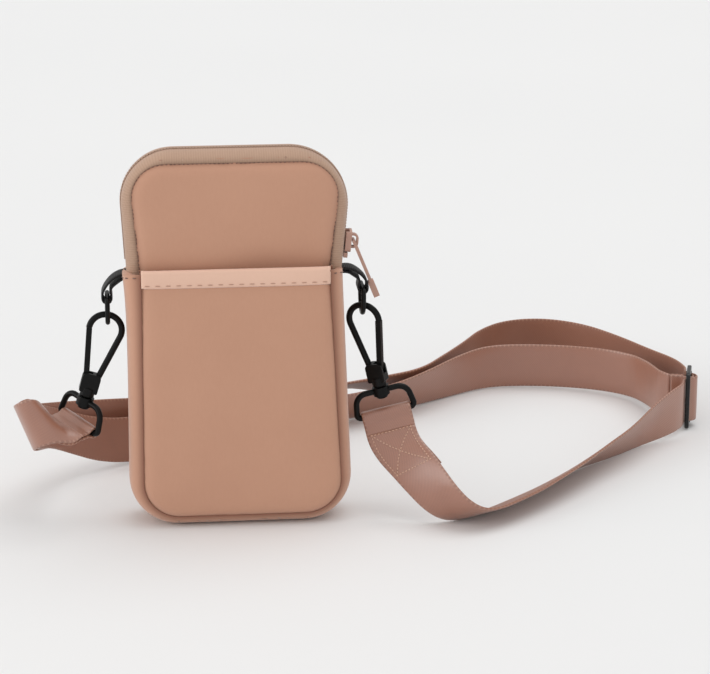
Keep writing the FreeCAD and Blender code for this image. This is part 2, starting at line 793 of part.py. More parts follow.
def make_hook(name):
    """The hook: a bent limb on a forked base, over a collar and a headed swivel post."""
    body = new_body(f"{name}_hook")
    half = size.hook_base_width / 2
    collar = size.collar_height / 2
    base = new_sketch(body, f"{name}_hook_base", "XZ_Plane")
    outline = ((-half, 0), (half, 0), (half, size.hook_base_top), (-half, size.hook_base_top))
    small = size.collar_round
    add_run(base, outline, (small, small, half / 2, half / 2))
    pad(body, base, "dims.hook_base_wall", symmetric=True)
    turned = new_sketch(body, f"{name}_swivel_post", "XZ_Plane")
    boss_low = -collar - size.eye_boss_height - 2 * size.swivel_room
    head_low = boss_low - size.post_head_height
    profile = (
        (0, collar),
        (0, head_low),
        (size.post_head_radius, head_low),
        (size.post_head_radius, boss_low),
        (size.post_radius, boss_low),
        (size.post_radius, -collar),
        (size.collar_radius, -collar),
        (size.collar_radius, collar),
    )
    add_run(turned, profile, (0, 0, small, 0, 0, 0, small, small))
    revolve(body, turned)
    middle = Vector(0, size.hook_reach - size.hook_arc, 0)
    foot = Vector(size.hook_foot_out, size.hook_foot_height, 0)
    touch = tangent_points(middle, size.hook_arc, foot)[0]
    nose = math.radians(size.hook_nose_angle)
    path = new_sketch(body, f"{name}_hook_path", "XZ_Plane")
    path.addGeometry(Part.LineSegment(foot, touch))
    start = math.atan2(touch.y - middle.y, touch.x - middle.x)
    circle = Part.Circle(middle, Vector(0, 0, 1), size.hook_arc)
    path.addGeometry(Part.ArcOfCircle(circle, start, nose))
    path.addConstraint(Sketcher.Constraint("Tangent", 0, 2, 1, 1))
    section = new_sketch(body, f"{name}_hook_section", "XY_Plane", "dims.hook_foot_height")
    add_circle(section, size.hook_wire / 2, "dims.hook_wire / 2", foot.x, 0)
    pipe(body, section, path, 2)
    slot = new_sketch(body, f"{name}_gate_slot", "YZ_Plane", "dims.gate_room - dims.hook_base_width")
    side = size.gate_wall / 2 + size.gate_room
    slot_low = size.gate_pivot_height - size.gate_slot_depth
    slot_top = size.hook_base_top + size.overrun
    add_run(slot, ((-side, slot_low), (side, slot_low), (side, slot_top), (-side, slot_top)), (0, 0, 0, 0))
    pocket(body, slot, "dims.hook_base_width", reverse=True)
    bore = new_sketch(body, f"{name}_pin_bore", "XZ_Plane")
    pivot = gate_pivot()
    add_circle(bore, size.pin_radius, "dims.pin_radius", pivot.x, pivot.z)
    pocket(body, bore)
    body.Placement = hook_frame(name)
    return body


def make_gate(name):
    """The sprung gate: a flat bar from its pin to just under the hook's nose."""
    body = new_body(f"{name}_hook_gate")
    pivot = gate_pivot()
    nose_angle = math.radians(size.hook_nose_angle)
    nose_out = math.cos(nose_angle) * size.hook_arc
    nose_height = size.hook_reach - size.hook_arc + math.sin(nose_angle) * size.hook_arc
    run = Vector(nose_out - pivot.x, 0, nose_height - pivot.z)
    reach = run.Length - size.gate_room
    half = size.gate_width / 2
    root = half - size.pin_room
    outline = new_sketch(body, f"{name}_gate_outline", "XZ_Plane")
    corners = ((-half, -half), (half, -half), (half, reach), (-half, reach))
    add_run(outline, corners, (root, root, size.gate_room, size.gate_room))
    pad(body, outline, "dims.gate_wall", symmetric=True)
    bore = new_sketch(body, f"{name}_gate_bore", "XZ_Plane")
    add_circle(bore, size.pin_radius + size.pin_room, "dims.pin_radius + dims.pin_room")
    pocket(body, bore)
    lean = math.degrees(math.atan2(run.x, run.z))
    turn = Placement(pivot, Rotation(Vector(0, 1, 0), lean))
    body.Placement = hook_frame(name).multiply(turn)
    return body


def make_gate_pin(name):
    """The rivet that the gate turns on."""
    pin = doc.addObject("Part::Cylinder", f"{name}_gate_pin")
    pin.Label = f"{name}_gate_pin"
    pin.setExpression("Radius", "dims.pin_radius")
    pin.setExpression("Height", "dims.hook_base_wall")
    lie = Rotation(Vector(0, 0, 1), Vector(0, 1, 0))
    base = gate_pivot() - Vector(0, size.hook_base_wall / 2, 0)
    pin.Placement = hook_frame(name).multiply(Placement(base, lie))
    subparts.append(pin)
    return pin


def make_eye(name):
    """The strap's eye: a bent loop whose top runs through a bored boss on the swivel post."""
    spot = SIDES[name]
    body = new_body(f"{name}_swivel_eye")
    boss_top = -size.collar_height / 2 - size.swivel_room
    level = boss_top - size.eye_boss_height / 2
    wide = (size.strap_width + size.eye_wire) / 2 + size.eye_side_room
    narrow = wide - size.eye_shoulder_in
    low = -size.eye_drop
    gap = size.post_radius / 2
    path = new_sketch(body, f"{name}_eye_path", "XZ_Plane")
    corners = ((gap, level), (narrow, level), (wide, low), (-wide, low), (-narrow, level), (-gap, level))
    shoulder = size.eye_shoulder_radius
    rounds = (0, shoulder, size.eye_corner, size.eye_corner, shoulder, 0)
    edges = add_run(path, corners, rounds, closed=False)
    section = new_sketch(body, f"{name}_eye_section", "YZ_Plane", "dims.post_radius / 2")
    add_circle(section, size.eye_wire / 2, "dims.eye_wire / 2", 0, level)
    pipe(body, section, path, edges)
    boss = new_sketch(body, f"{name}_eye_boss", "XY_Plane", "-dims.collar_height / 2 - dims.swivel_room")
    add_circle(boss, size.eye_boss_radius, "dims.eye_boss_radius")
    pad(body, boss, "dims.eye_boss_height", reverse=True)
    bore = new_sketch(body, f"{name}_eye_bore", "XY_Plane", "-dims.collar_height / 2")
    add_circle(bore, size.post_radius + size.post_room, "dims.post_radius + dims.post_room")
    pocket(body, bore, "dims.eye_boss_height + 2 * dims.swivel_room")
    body.Placement = stand(spot.collar, spot.bar, spot.axis)
    return body


# %% Webbing strap


def between(values, i, share):
    """A smooth curve's value between one station and the next."""
    p = [values[max(0, min(len(values) - 1, i + k))] for k in (-1, 0, 1, 2)]
    bend = p[0] * 2 - p[1] * 5 + p[2] * 4 - p[3]
    twist = p[1] * 3 - p[0] - p[2] * 3 + p[3]
    return (p[1] * 2 + (p[2] - p[0]) * share + bend * share**2 + twist * share**3) / 2


def spread_route(route, doubled):
    """Middle, direction across and share of the layer shift at the route's stations and between them."""
    centres = [Vector(*centre) for centre, _ in route]
    widths = [Vector(*across).normalize() for _, across in route]
    layer_shares = [float(i < doubled) for i in range(len(route))]
    line = []
    for i in range(len(route) - 1):
        for step in range(ROUTE_STEPS):
            share = step / ROUTE_STEPS
            across = between(widths, i, share).normalize()
            layer = layer_shares[i] * (1 - share) + layer_shares[i + 1] * share
            line.append((between(centres, i, share), across, layer))
    line.append((centres[-1], widths[-1], layer_shares[-1]))
    return line


def make_ribbon(label, route, lead, tail, shift=0.0, doubled=0):
    """A length of webbing: ruled faces through a rectangle at every station."""
    line = spread_route(route, doubled)
    last = len(line) - 1
    sections = []
    for i, (centre, across, layer) in enumerate(line):
        along = line[min(i + 1, last)][0] - line[max(i - 1, 0)][0]
        if i in (0, last):
            along = Vector(tail if i else lead)
        face = along.cross(across).normalize()
        middle = centre + face * shift * layer
        wide = across * (size.strap_width / 2)
        thick = face * (size.strap_wall / 2)
        ring = [middle + wide + thick, middle - wide + thick, middle - wide - thick, middle + wide - thick]
        sections.append(Part.makePolygon(ring + ring[:1]))
    ribbon = doc.addObject("Part::Feature", label)
    ribbon.Label = label
    ribbon.Shape = Part.makeLoft(sections, True, True)
    ribbon.Placement = Placement()
    subparts.append(ribbon)
    length = sum((b[0] - a[0]).Length for a, b in zip(line, line[1:]))
    fill = ribbon.Shape.Volume / (length * size.strap_width * size.strap_wall)
    print(f"{label}: {length:.0f} mm long, {fill:.3f} of its section times its length")
    return ribbon


def make_fold(label, bar_radius, tail, place, plane):
    """Webbing folded round a bar, with its two layers sewn together beside it."""
    body = new_body(label)
    hole = bar_radius + size.strap_bar_room
    round_out = hole + size.strap_wall
    wall = size.strap_wall
    end = Vector(wall, -tail, 0)
    touch = tangent_points(Vector(0, 0, 0), round_out, end)[0]
    sketch = new_sketch(body, f"{label}_section", plane)
    left = Vector(-touch.x, touch.y, 0)
    sketch.addGeometry(Part.LineSegment(touch, end))
    sketch.addGeometry(Part.LineSegment(end, Vector(-wall, -tail, 0)))
    sketch.addGeometry(Part.LineSegment(Vector(-wall, -tail, 0), left))
    circle = Part.Circle(Vector(0, 0, 0), Vector(0, 0, 1), round_out)
    start = math.atan2(touch.y, touch.x)
    sketch.addGeometry(Part.ArcOfCircle(circle, start, math.pi - start))
    for joint in ((0, 2, 1, 1), (1, 2, 2, 1), (2, 2, 3, 2), (3, 1, 0, 1)):
        sketch.addConstraint(Sketcher.Constraint("Coincident", *joint))
    add_circle(sketch, hole, f"{bar_radius:.6f} + dims.strap_bar_room")
    pad(body, sketch, "dims.strap_width", symmetric=True)
    body.Placement = place
    return body


def fold_direction(name, lean):
    """The way the webbing leaves an eye: down the hook's axis, leaning about the eye's bar."""
    spot = SIDES[name]
    return spot.axis * -math.cos(lean) + spot.bar.cross(spot.axis) * math.sin(lean)


adjuster_turn = math.radians(size.adjuster_heading)
adjuster_window = size.strap_width / 2 + size.eye_side_room
adjuster_tall = adjuster_window + size.adjuster_end
adjuster_middle = Vector(size.adjuster_out, size.adjuster_back, adjuster_tall + size.floor_room)
adjuster_along = Vector(math.cos(adjuster_turn), math.sin(adjuster_turn), 0)
adjuster_frame = stand(adjuster_middle, adjuster_along, Vector(0, 0, 1))


def make_strap_adjuster():
    """The sliding adjuster: a rounded frame with a round middle bar."""
    body = new_body("strap_adjuster")
    half = size.adjuster_width / 2
    tall = adjuster_tall
    corner = size.adjuster_corner
    frame = new_sketch(body, "adjuster_frame", "XZ_Plane")
    add_run(frame, ((-half, -tall), (half, -tall), (half, tall), (-half, tall)), [corner] * 4)
    pad(body, frame, "dims.adjuster_wall", symmetric=True)
    window = new_sketch(body, "adjuster_window", "XZ_Plane")
    side = half - size.adjuster_rim
    end = adjuster_window
    inner = max(corner - size.adjuster_rim, size.adjuster_round)
    add_run(window, ((-side, -end), (side, -end), (side, end), (-side, end)), [inner] * 4)
    pocket(body, window)
    face = size.adjuster_wall / 2

    def on_one_face(edge):
        """Whether an edge lies wholly on the frame's front or back."""
        on_faces = all(abs(abs(v.Y) - face) < size.pin_room for v in edge.Vertexes)
        return on_faces and len({v.Y > 0 for v in edge.Vertexes}) == 1

    round_edges(body, on_one_face, "dims.adjuster_round")
    bar = new_sketch(body, "adjuster_bar", "XY_Plane")
    add_circle(bar, size.adjuster_bar / 2, "dims.adjuster_bar / 2")
    pad(body, bar, "dims.strap_width + 2 * dims.eye_side_room + dims.adjuster_rim", symmetric=True)
    body.Placement = adjuster_frame
    return body


def in_adjuster(station):
    """A station of the weave in the pouch's frame, with the webbing on edge."""
    along, outward = station
    point = adjuster_frame.multVec(Vector(along, -outward, 0))
    return (tuple(point), (0.0, 0.0, -1.0))


def make_strap():
    """Folds round the eyes and the adjuster, and the three free lengths between them."""
    eye_bar = size.eye_wire / 2
    turns = {}
    for name, lean, tail in (
        ("right", math.radians(size.right_fold_lean), size.right_fold_tail),
        ("left", math.radians(size.left_fold_lean), size.left_fold_tail),
    ):
        spot = SIDES[name]
        leave = fold_direction(name, lean)
        place = stand(spot.bar_middle, spot.bar.cross(-leave), -leave)
        make_fold(f"strap_{name}_fold", eye_bar, tail, place, "XZ_Plane")
        turns[name] = (spot.bar_middle + leave * tail, spot.bar, leave)
    flat = Placement(Vector(0, 0, 0), Rotation(Vector(0, 0, 1), 180))
    sewn_place = adjuster_frame.multiply(flat)
    make_fold("strap_sewn_end", size.adjuster_bar / 2, size.sewn_tail, sewn_place, "XY_Plane")
    right_end, right_bar, right_leave = turns["right"]
    left_end, left_bar, left_leave = turns["left"]
    weave = tuple(in_adjuster(station) for station in WEAVE_ROUTE)
    front = ((tuple(right_end), tuple(right_bar)),) + FRONT_ROUTE
    up = (0.0, 0.0, 1.0)
    meet = in_adjuster((-(size.adjuster_width - size.overrun), WEAVE_ROUTE[0][1]))[0]
    make_ribbon("strap_front_run", front + ((meet, up),), right_leave, adjuster_along)
    layer = (size.strap_wall + size.layer_room) / 2
    left = ((tuple(left_end), tuple(left_bar)),) + LEFT_ROUTE
    sewn = in_adjuster((0.0, -size.sewn_tail))
    inward = adjuster_frame.Rotation.multVec(Vector(0, 1, 0))
    outer = left + OUTER_ROUTE + weave + ((meet, (0.0, 0.0, -1.0)),)
    make_ribbon("strap_outer_run", outer, left_leave, -adjuster_along, layer, len(left))
    make_ribbon("strap_inner_run", left + INNER_ROUTE + (sewn,), left_leave, -inward, -layer, len(left))


# %% The whole pouch

make_panel("back_panel", 1)
make_panel("front_panel", -1)
make_pocket_panel()
make_pocket_hem()
make_lower_gusset()
make_zip_tape("zip_tape_front", -1)
make_zip_tape("zip_tape_back", 1)
make_zip_teeth("zip_teeth_front", -1)
make_zip_teeth("zip_teeth_back", 1)
make_zip_stops()
make_zip_slider()
make_zip_pull()
for side_name in SIDES:
    make_ring_tab(side_name)
    make_d_ring(side_name)
    make_hook(side_name)
    make_gate(side_name)
    make_gate_pin(side_name)
    make_eye(side_name)
make_strap_adjuster()
make_strap()
doc.recompute()

# %% Checks and STEP files

for item in doc.Objects:
    if {"Invalid", "Error"} & set(item.State):
        raise RuntimeError(f"{item.Label} failed: {item.State}")
os.makedirs("parts", exist_ok=True)
for item in subparts:
    if item.Shape.isNull() or not item.Shape.isValid() or not item.Shape.Solids:
        raise RuntimeError(f"{item.Label} has no valid solid")
    item.Shape.exportStep(f"parts/{item.Label}.step")
print(f"{len(subparts)} sub-parts written")
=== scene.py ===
# %% [markdown]
# # A zipped phone pouch on its strap
#
# The pouch is sewn from foam-backed knit, closed by a zip over its top, and hung from a webbing strap
# by two swivel snap hooks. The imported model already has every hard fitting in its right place. This
# lesson keeps those, gives them finishes, and makes the soft pieces again as what they are: puffed
# panels, a rolled hem, woven bands.

import math

import bmesh
import bpy
import numpy as np
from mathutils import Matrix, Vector


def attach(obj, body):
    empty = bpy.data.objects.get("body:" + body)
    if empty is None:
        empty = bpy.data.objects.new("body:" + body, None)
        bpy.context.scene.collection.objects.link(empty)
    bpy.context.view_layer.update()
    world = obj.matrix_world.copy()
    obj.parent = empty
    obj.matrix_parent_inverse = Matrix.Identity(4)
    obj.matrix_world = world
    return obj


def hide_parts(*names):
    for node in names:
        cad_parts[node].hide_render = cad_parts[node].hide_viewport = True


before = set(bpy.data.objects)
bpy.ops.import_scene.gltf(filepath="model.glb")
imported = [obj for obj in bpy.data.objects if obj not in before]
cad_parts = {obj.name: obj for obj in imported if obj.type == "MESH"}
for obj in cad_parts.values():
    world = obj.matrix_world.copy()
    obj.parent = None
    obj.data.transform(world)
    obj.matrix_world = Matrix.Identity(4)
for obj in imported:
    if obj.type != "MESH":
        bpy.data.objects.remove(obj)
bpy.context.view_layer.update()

# %% [markdown]
# ## The camera
#
# A long lens from a little over a metre keeps the pouch's sides nearly parallel. The camera is given as
# a turn, a height angle and a distance from one point that it looks at, because those are what a
# photographer sets.

# %% Camera
MM = 0.001


def mm(x, y, z):
    """A point given in millimetres."""
    return Vector((x, y, z)) * MM


def add_camera(target, turn, rise, distance, lens):
    """A camera that looks at a point from a turn and a height angle."""
    turn, rise = math.radians(turn), math.radians(rise)
    away = Vector((math.sin(turn) * math.cos(rise), -math.cos(turn) * math.cos(rise), math.sin(rise)))
    data = bpy.data.cameras.new("camera")
    data.lens = lens
    data.sensor_width = 36.0
    data.clip_start = 0.05
    camera = bpy.data.objects.new("camera", data)
    bpy.context.scene.collection.objects.link(camera)
    camera.location = target + away * distance
    camera.rotation_euler = away.to_track_quat("Z", "Y").to_euler()
    bpy.context.scene.camera = camera
    return camera


camera = add_camera(mm(57.5, 0, 90.4), turn=-5.349, rise=17.08, distance=1.3234, lens=135.4)
print("camera at", [round(c, 4) for c in camera.location])

# %% [markdown]
# ## The strap's route
#
# Webbing bends easily one way and hardly at all the other, so a route needs two things at each station:
# where its middle is and which way its width points. Two smooth splines with the same stations, one
# through the middle and one along an edge, carry both. The long length falls from the right eye, twists
# over as it reaches the floor, stands up on its edge, goes through the adjuster and runs round behind
# the pouch to the left eye. The return length runs from there back to the adjuster. Behind the pouch
# the two lie on each other.

# %% Stations of the webbing, middle then width, in millimetres
STRAP_WIDTH = 0.025
STRAP_WALL = 0.0014
UP = (0.0, 0.0, 1.0)

FRONT_STATIONS = [
    ((75.17, -4.01, 42.15), (0.974, 0.0, 0.225)),
    ((76.08, -5.92, 38.17), (0.974, 0.0, 0.225)),
    ((80.0, -10.3, 32.6), (0.92, -0.15, 0.36)),
    ((85.6, -15.0, 27.2), (0.80, -0.31, 0.52)),
    ((91.6, -22.1, 21.1), (0.67, -0.39, 0.64)),
    ((97.6, -29.1, 14.7), (0.56, -0.49, 0.67)),
    ((104.7, -31.8, 9.0), (0.47, -0.64, 0.61)),
    ((112.8, -30.7, 6.1), (0.44, -0.76, 0.48)),
    ((121.9, -25.7, 5.75), (0.46, -0.78, 0.42)),
    ((132.6, -16.6, 5.9), (0.52, -0.73, 0.45)),
    ((144.7, -5.3, 6.2), (0.57, -0.67, 0.47)),
    ((157.5, 7.6, 7.0), (0.58, -0.61, 0.54)),
    ((171.4, 23.3, 7.6), (0.58, -0.57, 0.59)),
    ((186.5, 41.1, 8.7), (0.54, -0.52, 0.67)),
    ((205.3, 57.6, 10.5), (0.41, -0.40, 0.82)),
    ((221.5, 77.0, 11.9), (0.23, -0.23, 0.95)),
    ((238.0, 89.5, 15.2), UP),
    ((245.28, 97.21, 16.2), UP),
]
WEAVE_ROUTE = (
    *((246.92, 101.95), (247.92, 105.21), (250.04, 106.83), (252.28, 107.49)),
    *((254.74, 108.61), (256.26, 110.90), (256.04, 113.64), (254.43, 115.81)),
    *((252.80, 117.48), (251.72, 119.92), (252.43, 123.25), (253.30, 128.19)),
)
WEAVE_STATIONS = [((x, y, 16.2), UP) for x, y in WEAVE_ROUTE]
OUTER_STATIONS = [
    ((251.0, 146.0, 15.4), UP),
    ((242.0, 168.0, 14.0), UP),
    ((229.0, 199.0, 13.2), UP),
    ((213.0, 225.0, 13.0), UP),
    ((191.0, 239.0, 12.9), UP),
    ((168.0, 236.0, 12.9), UP),
    ((151.0, 219.0, 12.9), UP),
    ((139.0, 196.0, 12.9), UP),
    ((124.0, 177.0, 12.7), (0.13, -0.16, 0.98)),
    ((107.5, 157.5, 13.5), (0.16, -0.50, 0.85)),
    ((87.0, 146.0, 18.0), (0.10, -0.80, 0.59)),
    ((60.0, 133.0, 22.0), (0.05, -0.94, 0.34)),
]
LONG_REAR_STATIONS = [
    ((32.0, 119.0, 19.6), (0.03, -0.85, 0.53)),
    ((2.0, 107.5, 14.5), (0.0, -0.10, 1.0)),
    ((-28.0, 97.5, 16.5), UP),
    ((-54.0, 87.0, 20.6), (-0.03, -0.02, 1.00)),
    ((-71.0, 73.0, 25.0), (-0.08, -0.04, 1.00)),
    ((-84.5, 57.5, 30.0), (-0.15, -0.05, 0.99)),
    ((-94.0, 41.5, 35.0), (-0.23, -0.03, 0.97)),
]
RETURN_REAR_STATIONS = [
    ((32.0, 116.0, 11.9), (0.02, -0.45, 0.89)),
    ((2.0, 103.5, 12.9), UP),
    ((-28.0, 91.0, 12.9), UP),
    ((-57.0, 77.0, 13.2), (-0.03, -0.02, 1.00)),
    ((-73.5, 65.5, 18.5), (-0.08, -0.04, 1.00)),
    ((-85.5, 53.0, 26.5), (-0.15, -0.05, 0.99)),
    ((-94.5, 40.0, 33.8), (-0.23, -0.03, 0.97)),
]
LEFT_STATIONS = [
    ((-100.3, 26.0, 39.8), (-0.30, 0.0, 0.95)),
    ((-104.0, 12.0, 43.8), (-0.35, 0.03, 0.94)),
    ((-105.9, 2.0, 47.4), (-0.36, 0.05, 0.93)),
    ((-105.6, -5.4, 50.6), (-0.37, 0.04, 0.93)),
    ((-102.8, -10.8, 53.8), (-0.40, 0.04, 0.91)),
    ((-97.4, -12.0, 55.8), (-0.46, 0.10, 0.88)),
    ((-92.6, -9.6, 53.2), (-0.56, 0.36, 0.75)),
    ((-89.4, -7.0, 50.0), (-0.62, 0.66, 0.42)),
    ((-86.40, -4.83, 48.89), (-0.6147, 0.766, 0.1879)),
]
INNER_STATIONS = [
    ((60.0, 127.0, 10.2), (0.06, -0.66, 0.75)),
    ((90.0, 140.0, 11.0), (0.14, -0.55, 0.82)),
    ((111.0, 155.0, 12.1), (0.18, -0.38, 0.91)),
    ((131.0, 173.0, 12.6), (0.09, -0.15, 0.98)),
    ((150.0, 187.0, 12.9), UP),
    ((172.0, 188.0, 12.9), UP),
    ((197.0, 182.0, 13.2), UP),
    ((217.0, 171.5, 13.8), UP),
    ((229.8, 158.0, 14.4), UP),
    ((234.4, 144.5, 15.0), UP),
    ((236.6, 131.5, 15.7), UP),
    ((238.0, 120.8, 16.1), UP),
    ((242.32, 114.50, 16.2), UP),
]


def read_spline(points):
    """Points along a smooth NURBS spline with the given control points."""
    curve = bpy.data.curves.new("route", "CURVE")
    curve.dimensions = "3D"
    curve.resolution_u = 8
    line = curve.splines.new("NURBS")
    line.points.add(len(points) - 1)
    for spot, point in zip(line.points, points):
        spot.co = (*point, 1.0)
    line.order_u = 3
    line.use_endpoint_u = True
    holder = bpy.data.objects.new("route", curve)
    mesh = bpy.data.meshes.new_from_object(holder)
    found = np.array([v.co[:] for v in mesh.vertices])
    bpy.data.objects.remove(holder)
    bpy.data.curves.remove(curve)
    bpy.data.meshes.remove(mesh)
    return found


def unit(rows):
    """Rows scaled to length one."""
    return rows / np.linalg.norm(rows, axis=1, keepdims=True)


class Band:
    """The frames of a flat band: its middle, the direction across, its face and the length so far."""

    def __init__(self, middle, across):
        self.middle = np.array(middle)
        self.across = unit(np.array(across))
        self.face = unit(np.cross(np.gradient(self.middle, axis=0), self.across))
        steps = np.linalg.norm(np.diff(self.middle, axis=0), axis=1)
        self.along = np.concatenate([[0.0], np.cumsum(steps)])

    def spot(self, length, sideways, lift):
        """A point on the band: a length along it, an offset across it and a lift off its face."""
        middle, across, face = (
            np.array([np.interp(length, self.along, rows[:, k]) for k in range(3)])
            for rows in (self.middle, self.across, self.face)
        )
        return middle + across * sideways + face * lift


LAYER = 0.00095
TWIN_START = 0.060
EASE_LENGTH = 0.030


def strap_band(stations, sewn_length):
    """A band along stations, lifted off its twin behind the pouch and off the end sewn under it."""
    middles = [mm(*centre) for centre, _ in stations]
    edges = [m + Vector(w).normalized() * STRAP_WIDTH / 2 for m, (_, w) in zip(middles, stations)]
    middle = read_spline(middles)
    band = Band(middle, read_spline(edges) - middle)
    twin = np.clip((TWIN_START - middle[:, 0]) / EASE_LENGTH, 0, 1)
    sewn = np.clip(1 - (band.along - sewn_length) / EASE_LENGTH, 0, 1) if sewn_length else 0
    ease = np.maximum(twin, sewn)
    lift = LAYER * ease * ease * (3 - 2 * ease)
    return Band(middle + band.face * lift[:, None], band.across)


SEWN_LENGTH = 0.027
RIGHT_STATIONS = FRONT_STATIONS + WEAVE_STATIONS + OUTER_STATIONS
LONG_STATIONS = RIGHT_STATIONS + LONG_REAR_STATIONS + LEFT_STATIONS
RETURN_STATIONS = LEFT_STATIONS[::-1] + RETURN_REAR_STATIONS[::-1] + INNER_STATIONS
long_band = strap_band(LONG_STATIONS, SEWN_LENGTH)
return_band = strap_band(RETURN_STATIONS, 0)
print(f"long length {long_band.along[-1]:.3f} m, return length {return_band.along[-1]:.3f} m")

# %% [markdown]
# ## From frames to cloth
#
# A woven band is a thin slab with soft, slightly thinner edges. One helper sweeps that section through
# a band's frames and stores three numbers on every point: the length along and the place across, so
# that the weave can follow the cloth round every bend and twist, and how much of the duller reverse
# shows there, which also carries a painted shade on a band's stretch behind the pouch's left side.

# %% Helper: a mesh through rows, and a woven band


def add_piece(name, mesh, body="pouch"):
    """A finished piece at the origin, riding on a body."""
    mesh.name = name
    piece = bpy.data.objects.new(name, mesh)
    bpy.context.scene.collection.objects.link(piece)
    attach(piece, body)
    return piece


def lofted(rows, closed, marks=None):
    """A smooth mesh through rows of points, with point marks of the same shape by name."""
    rows = np.asarray(rows)
    count, ring = rows.shape[:2]
    mesh = bpy.data.meshes.new("loft")
    faces = []
    for i in range(count - 1):
        for j in range(ring if closed else ring - 1):
            k = (j + 1) % ring
            faces.append((i * ring + j, i * ring + k, (i + 1) * ring + k, (i + 1) * ring + j))
    if closed:
        faces.append(tuple(range(ring - 1, -1, -1)))
        faces.append(tuple((count - 1) * ring + j for j in range(ring)))
    mesh.from_pydata(rows.reshape(-1, 3).tolist(), [], faces)
    for name, values in (marks or {}).items():
        layer = mesh.attributes.new(name, "FLOAT", "POINT")
        layer.data.foreach_set("value", np.asarray(values, dtype=np.float32).ravel())
    work = bmesh.new()
    work.from_mesh(mesh)
    bmesh.ops.recalc_face_normals(work, faces=work.faces)
    work.to_mesh(mesh)
    work.free()
    mesh.shade_smooth()
    return mesh


SECTION_ACROSS = np.array([-1.0, -0.985, -0.94, -0.5, 0.0, 0.5, 0.94, 0.985, 1.0])
SECTION_RISE = np.array([0.25, 0.75, 0.96, 1.0, 1.0, 1.0, 0.96, 0.75, 0.25])


def woven(band, width, wall, painted_shade=0.0):
    """A woven band's mesh, marked with its length along, its place across, its reverse and painted shade.
    """
    across = np.concatenate([SECTION_ACROSS, SECTION_ACROSS[::-1]])
    rise = np.concatenate([SECTION_RISE, -SECTION_RISE[::-1]])
    rows = (
        band.middle[:, None, :]
        + band.across[:, None, :] * (across * width / 2)[None, :, None]
        + band.face[:, None, :] * (rise * wall / 2)[None, :, None]
    )
    shape = rows.shape[:2]
    # the reverse mark also carries the painted shade: darker and duller where a band lies in shade
    reverse_and_painted_shade = np.maximum(np.where(rise < 0, 1.0, 0.0)[None, :], np.reshape(painted_shade, (-1, 1)))
    marks = {
        "along": np.broadcast_to(band.along[:, None] * 1000, shape),
        "across": np.broadcast_to(across * width / 2 * 1000, shape),
        "reverse_and_painted_shade": np.broadcast_to(reverse_and_painted_shade, shape),
    }
    return lofted(rows, closed=True, marks=marks)


def painted_shade_behind(band):
    """Painted shade on a band: its stretch behind the pouch's left side is darker and keeps little shine.
    """
    leftward = np.clip((0.010 - band.middle[:, 0]) / 0.030, 0, 1)
    rearward = np.clip((band.middle[:, 1] - 0.020) / 0.025, 0, 1)
    return leftward * rearward


strap_long = add_piece("strap_long_length", woven(long_band, STRAP_WIDTH, STRAP_WALL))
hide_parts("strap_front_run", "strap_outer_run")
# the return length gets a painted shade where it runs behind the pouch's left side
return_mesh = woven(return_band, STRAP_WIDTH, STRAP_WALL, painted_shade_behind(return_band))
strap_return = add_piece("strap_return_length", return_mesh)
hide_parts("strap_inner_run")

# %% [markdown]
# ## Folds round the bars
#
# Where the webbing meets an eye or the adjuster, it goes round the bar and is sewn to itself. Each fold
# is one more band: from its cut end, up beside the strap, round the bar and down to where the strap's
# own length starts. At the right eye the doubled part is long and sewn with a crossed box.

# %% Folds at both eyes and at the adjuster
RIGHT_BAR = mm(73.23, 0, 50.54)
RIGHT_ACROSS, RIGHT_LEAVE = Vector((0.9744, 0, 0.225)), Vector((0.2039, -0.4226, -0.8831))
LEFT_BAR = mm(-80.09, 0, 49.82)
LEFT_ACROSS, LEFT_LEAVE = Vector((-0.6147, 0.766, 0.1879)), Vector((-0.7884, -0.604, -0.1166))
GLIDE_BAR = mm(252, 112, 16.2)
GLIDE_ACROSS, GLIDE_LEAVE = Vector(UP), Vector((-0.9681, 0.2504, 0))
EYE_RADIUS, GLIDE_RADIUS = 0.00235, 0.00245
GLIDE_GAP = 0.0008


def fold_path(bar, across, leave, radius, tail, gap):
    """Middles of a fold: in along one layer, round the bar and out along the other."""
    face = leave.cross(across).normalized()
    turn = math.acos(min(1, gap / radius))
    angles = np.linspace(-math.pi + turn, math.pi - turn, 25)
    rounds = [bar - leave * math.cos(a) * radius + face * math.sin(a) * radius for a in angles]
    start = bar + leave * math.sin(turn) * radius
    steps = [k / 6 for k in range(7)]
    inward = [bar + leave * tail * (1 - k) + (start - bar) * k - face * gap for k in steps[:-1]]
    outward = [bar + leave * tail * k + (start - bar) * (1 - k) + face * gap for k in steps[1:]]
    return inward + rounds + outward


def fold_band(lead, bar, across, leave, radius, tail, gap):
    """A fold's band, with a lead of earlier middles and widths before it."""
    path = fold_path(bar, across, leave, radius, tail, gap)
    middles = [list(m) for m, _ in lead] + [list(p) for p in path]
    widths = [list(w) for _, w in lead] + [list(across)] * len(path)
    return Band(middles, widths)


def cut_end(band, reach, lift, spare):
    """Middles and widths of a cut end that lies on a band, from its far end towards the fold."""
    lengths = np.linspace(reach, spare, 12)
    found = []
    for length in lengths:
        width = np.array([np.interp(length, band.along, band.across[:, k]) for k in range(3)])
        found.append((band.spot(length, 0, lift), width))
    return found


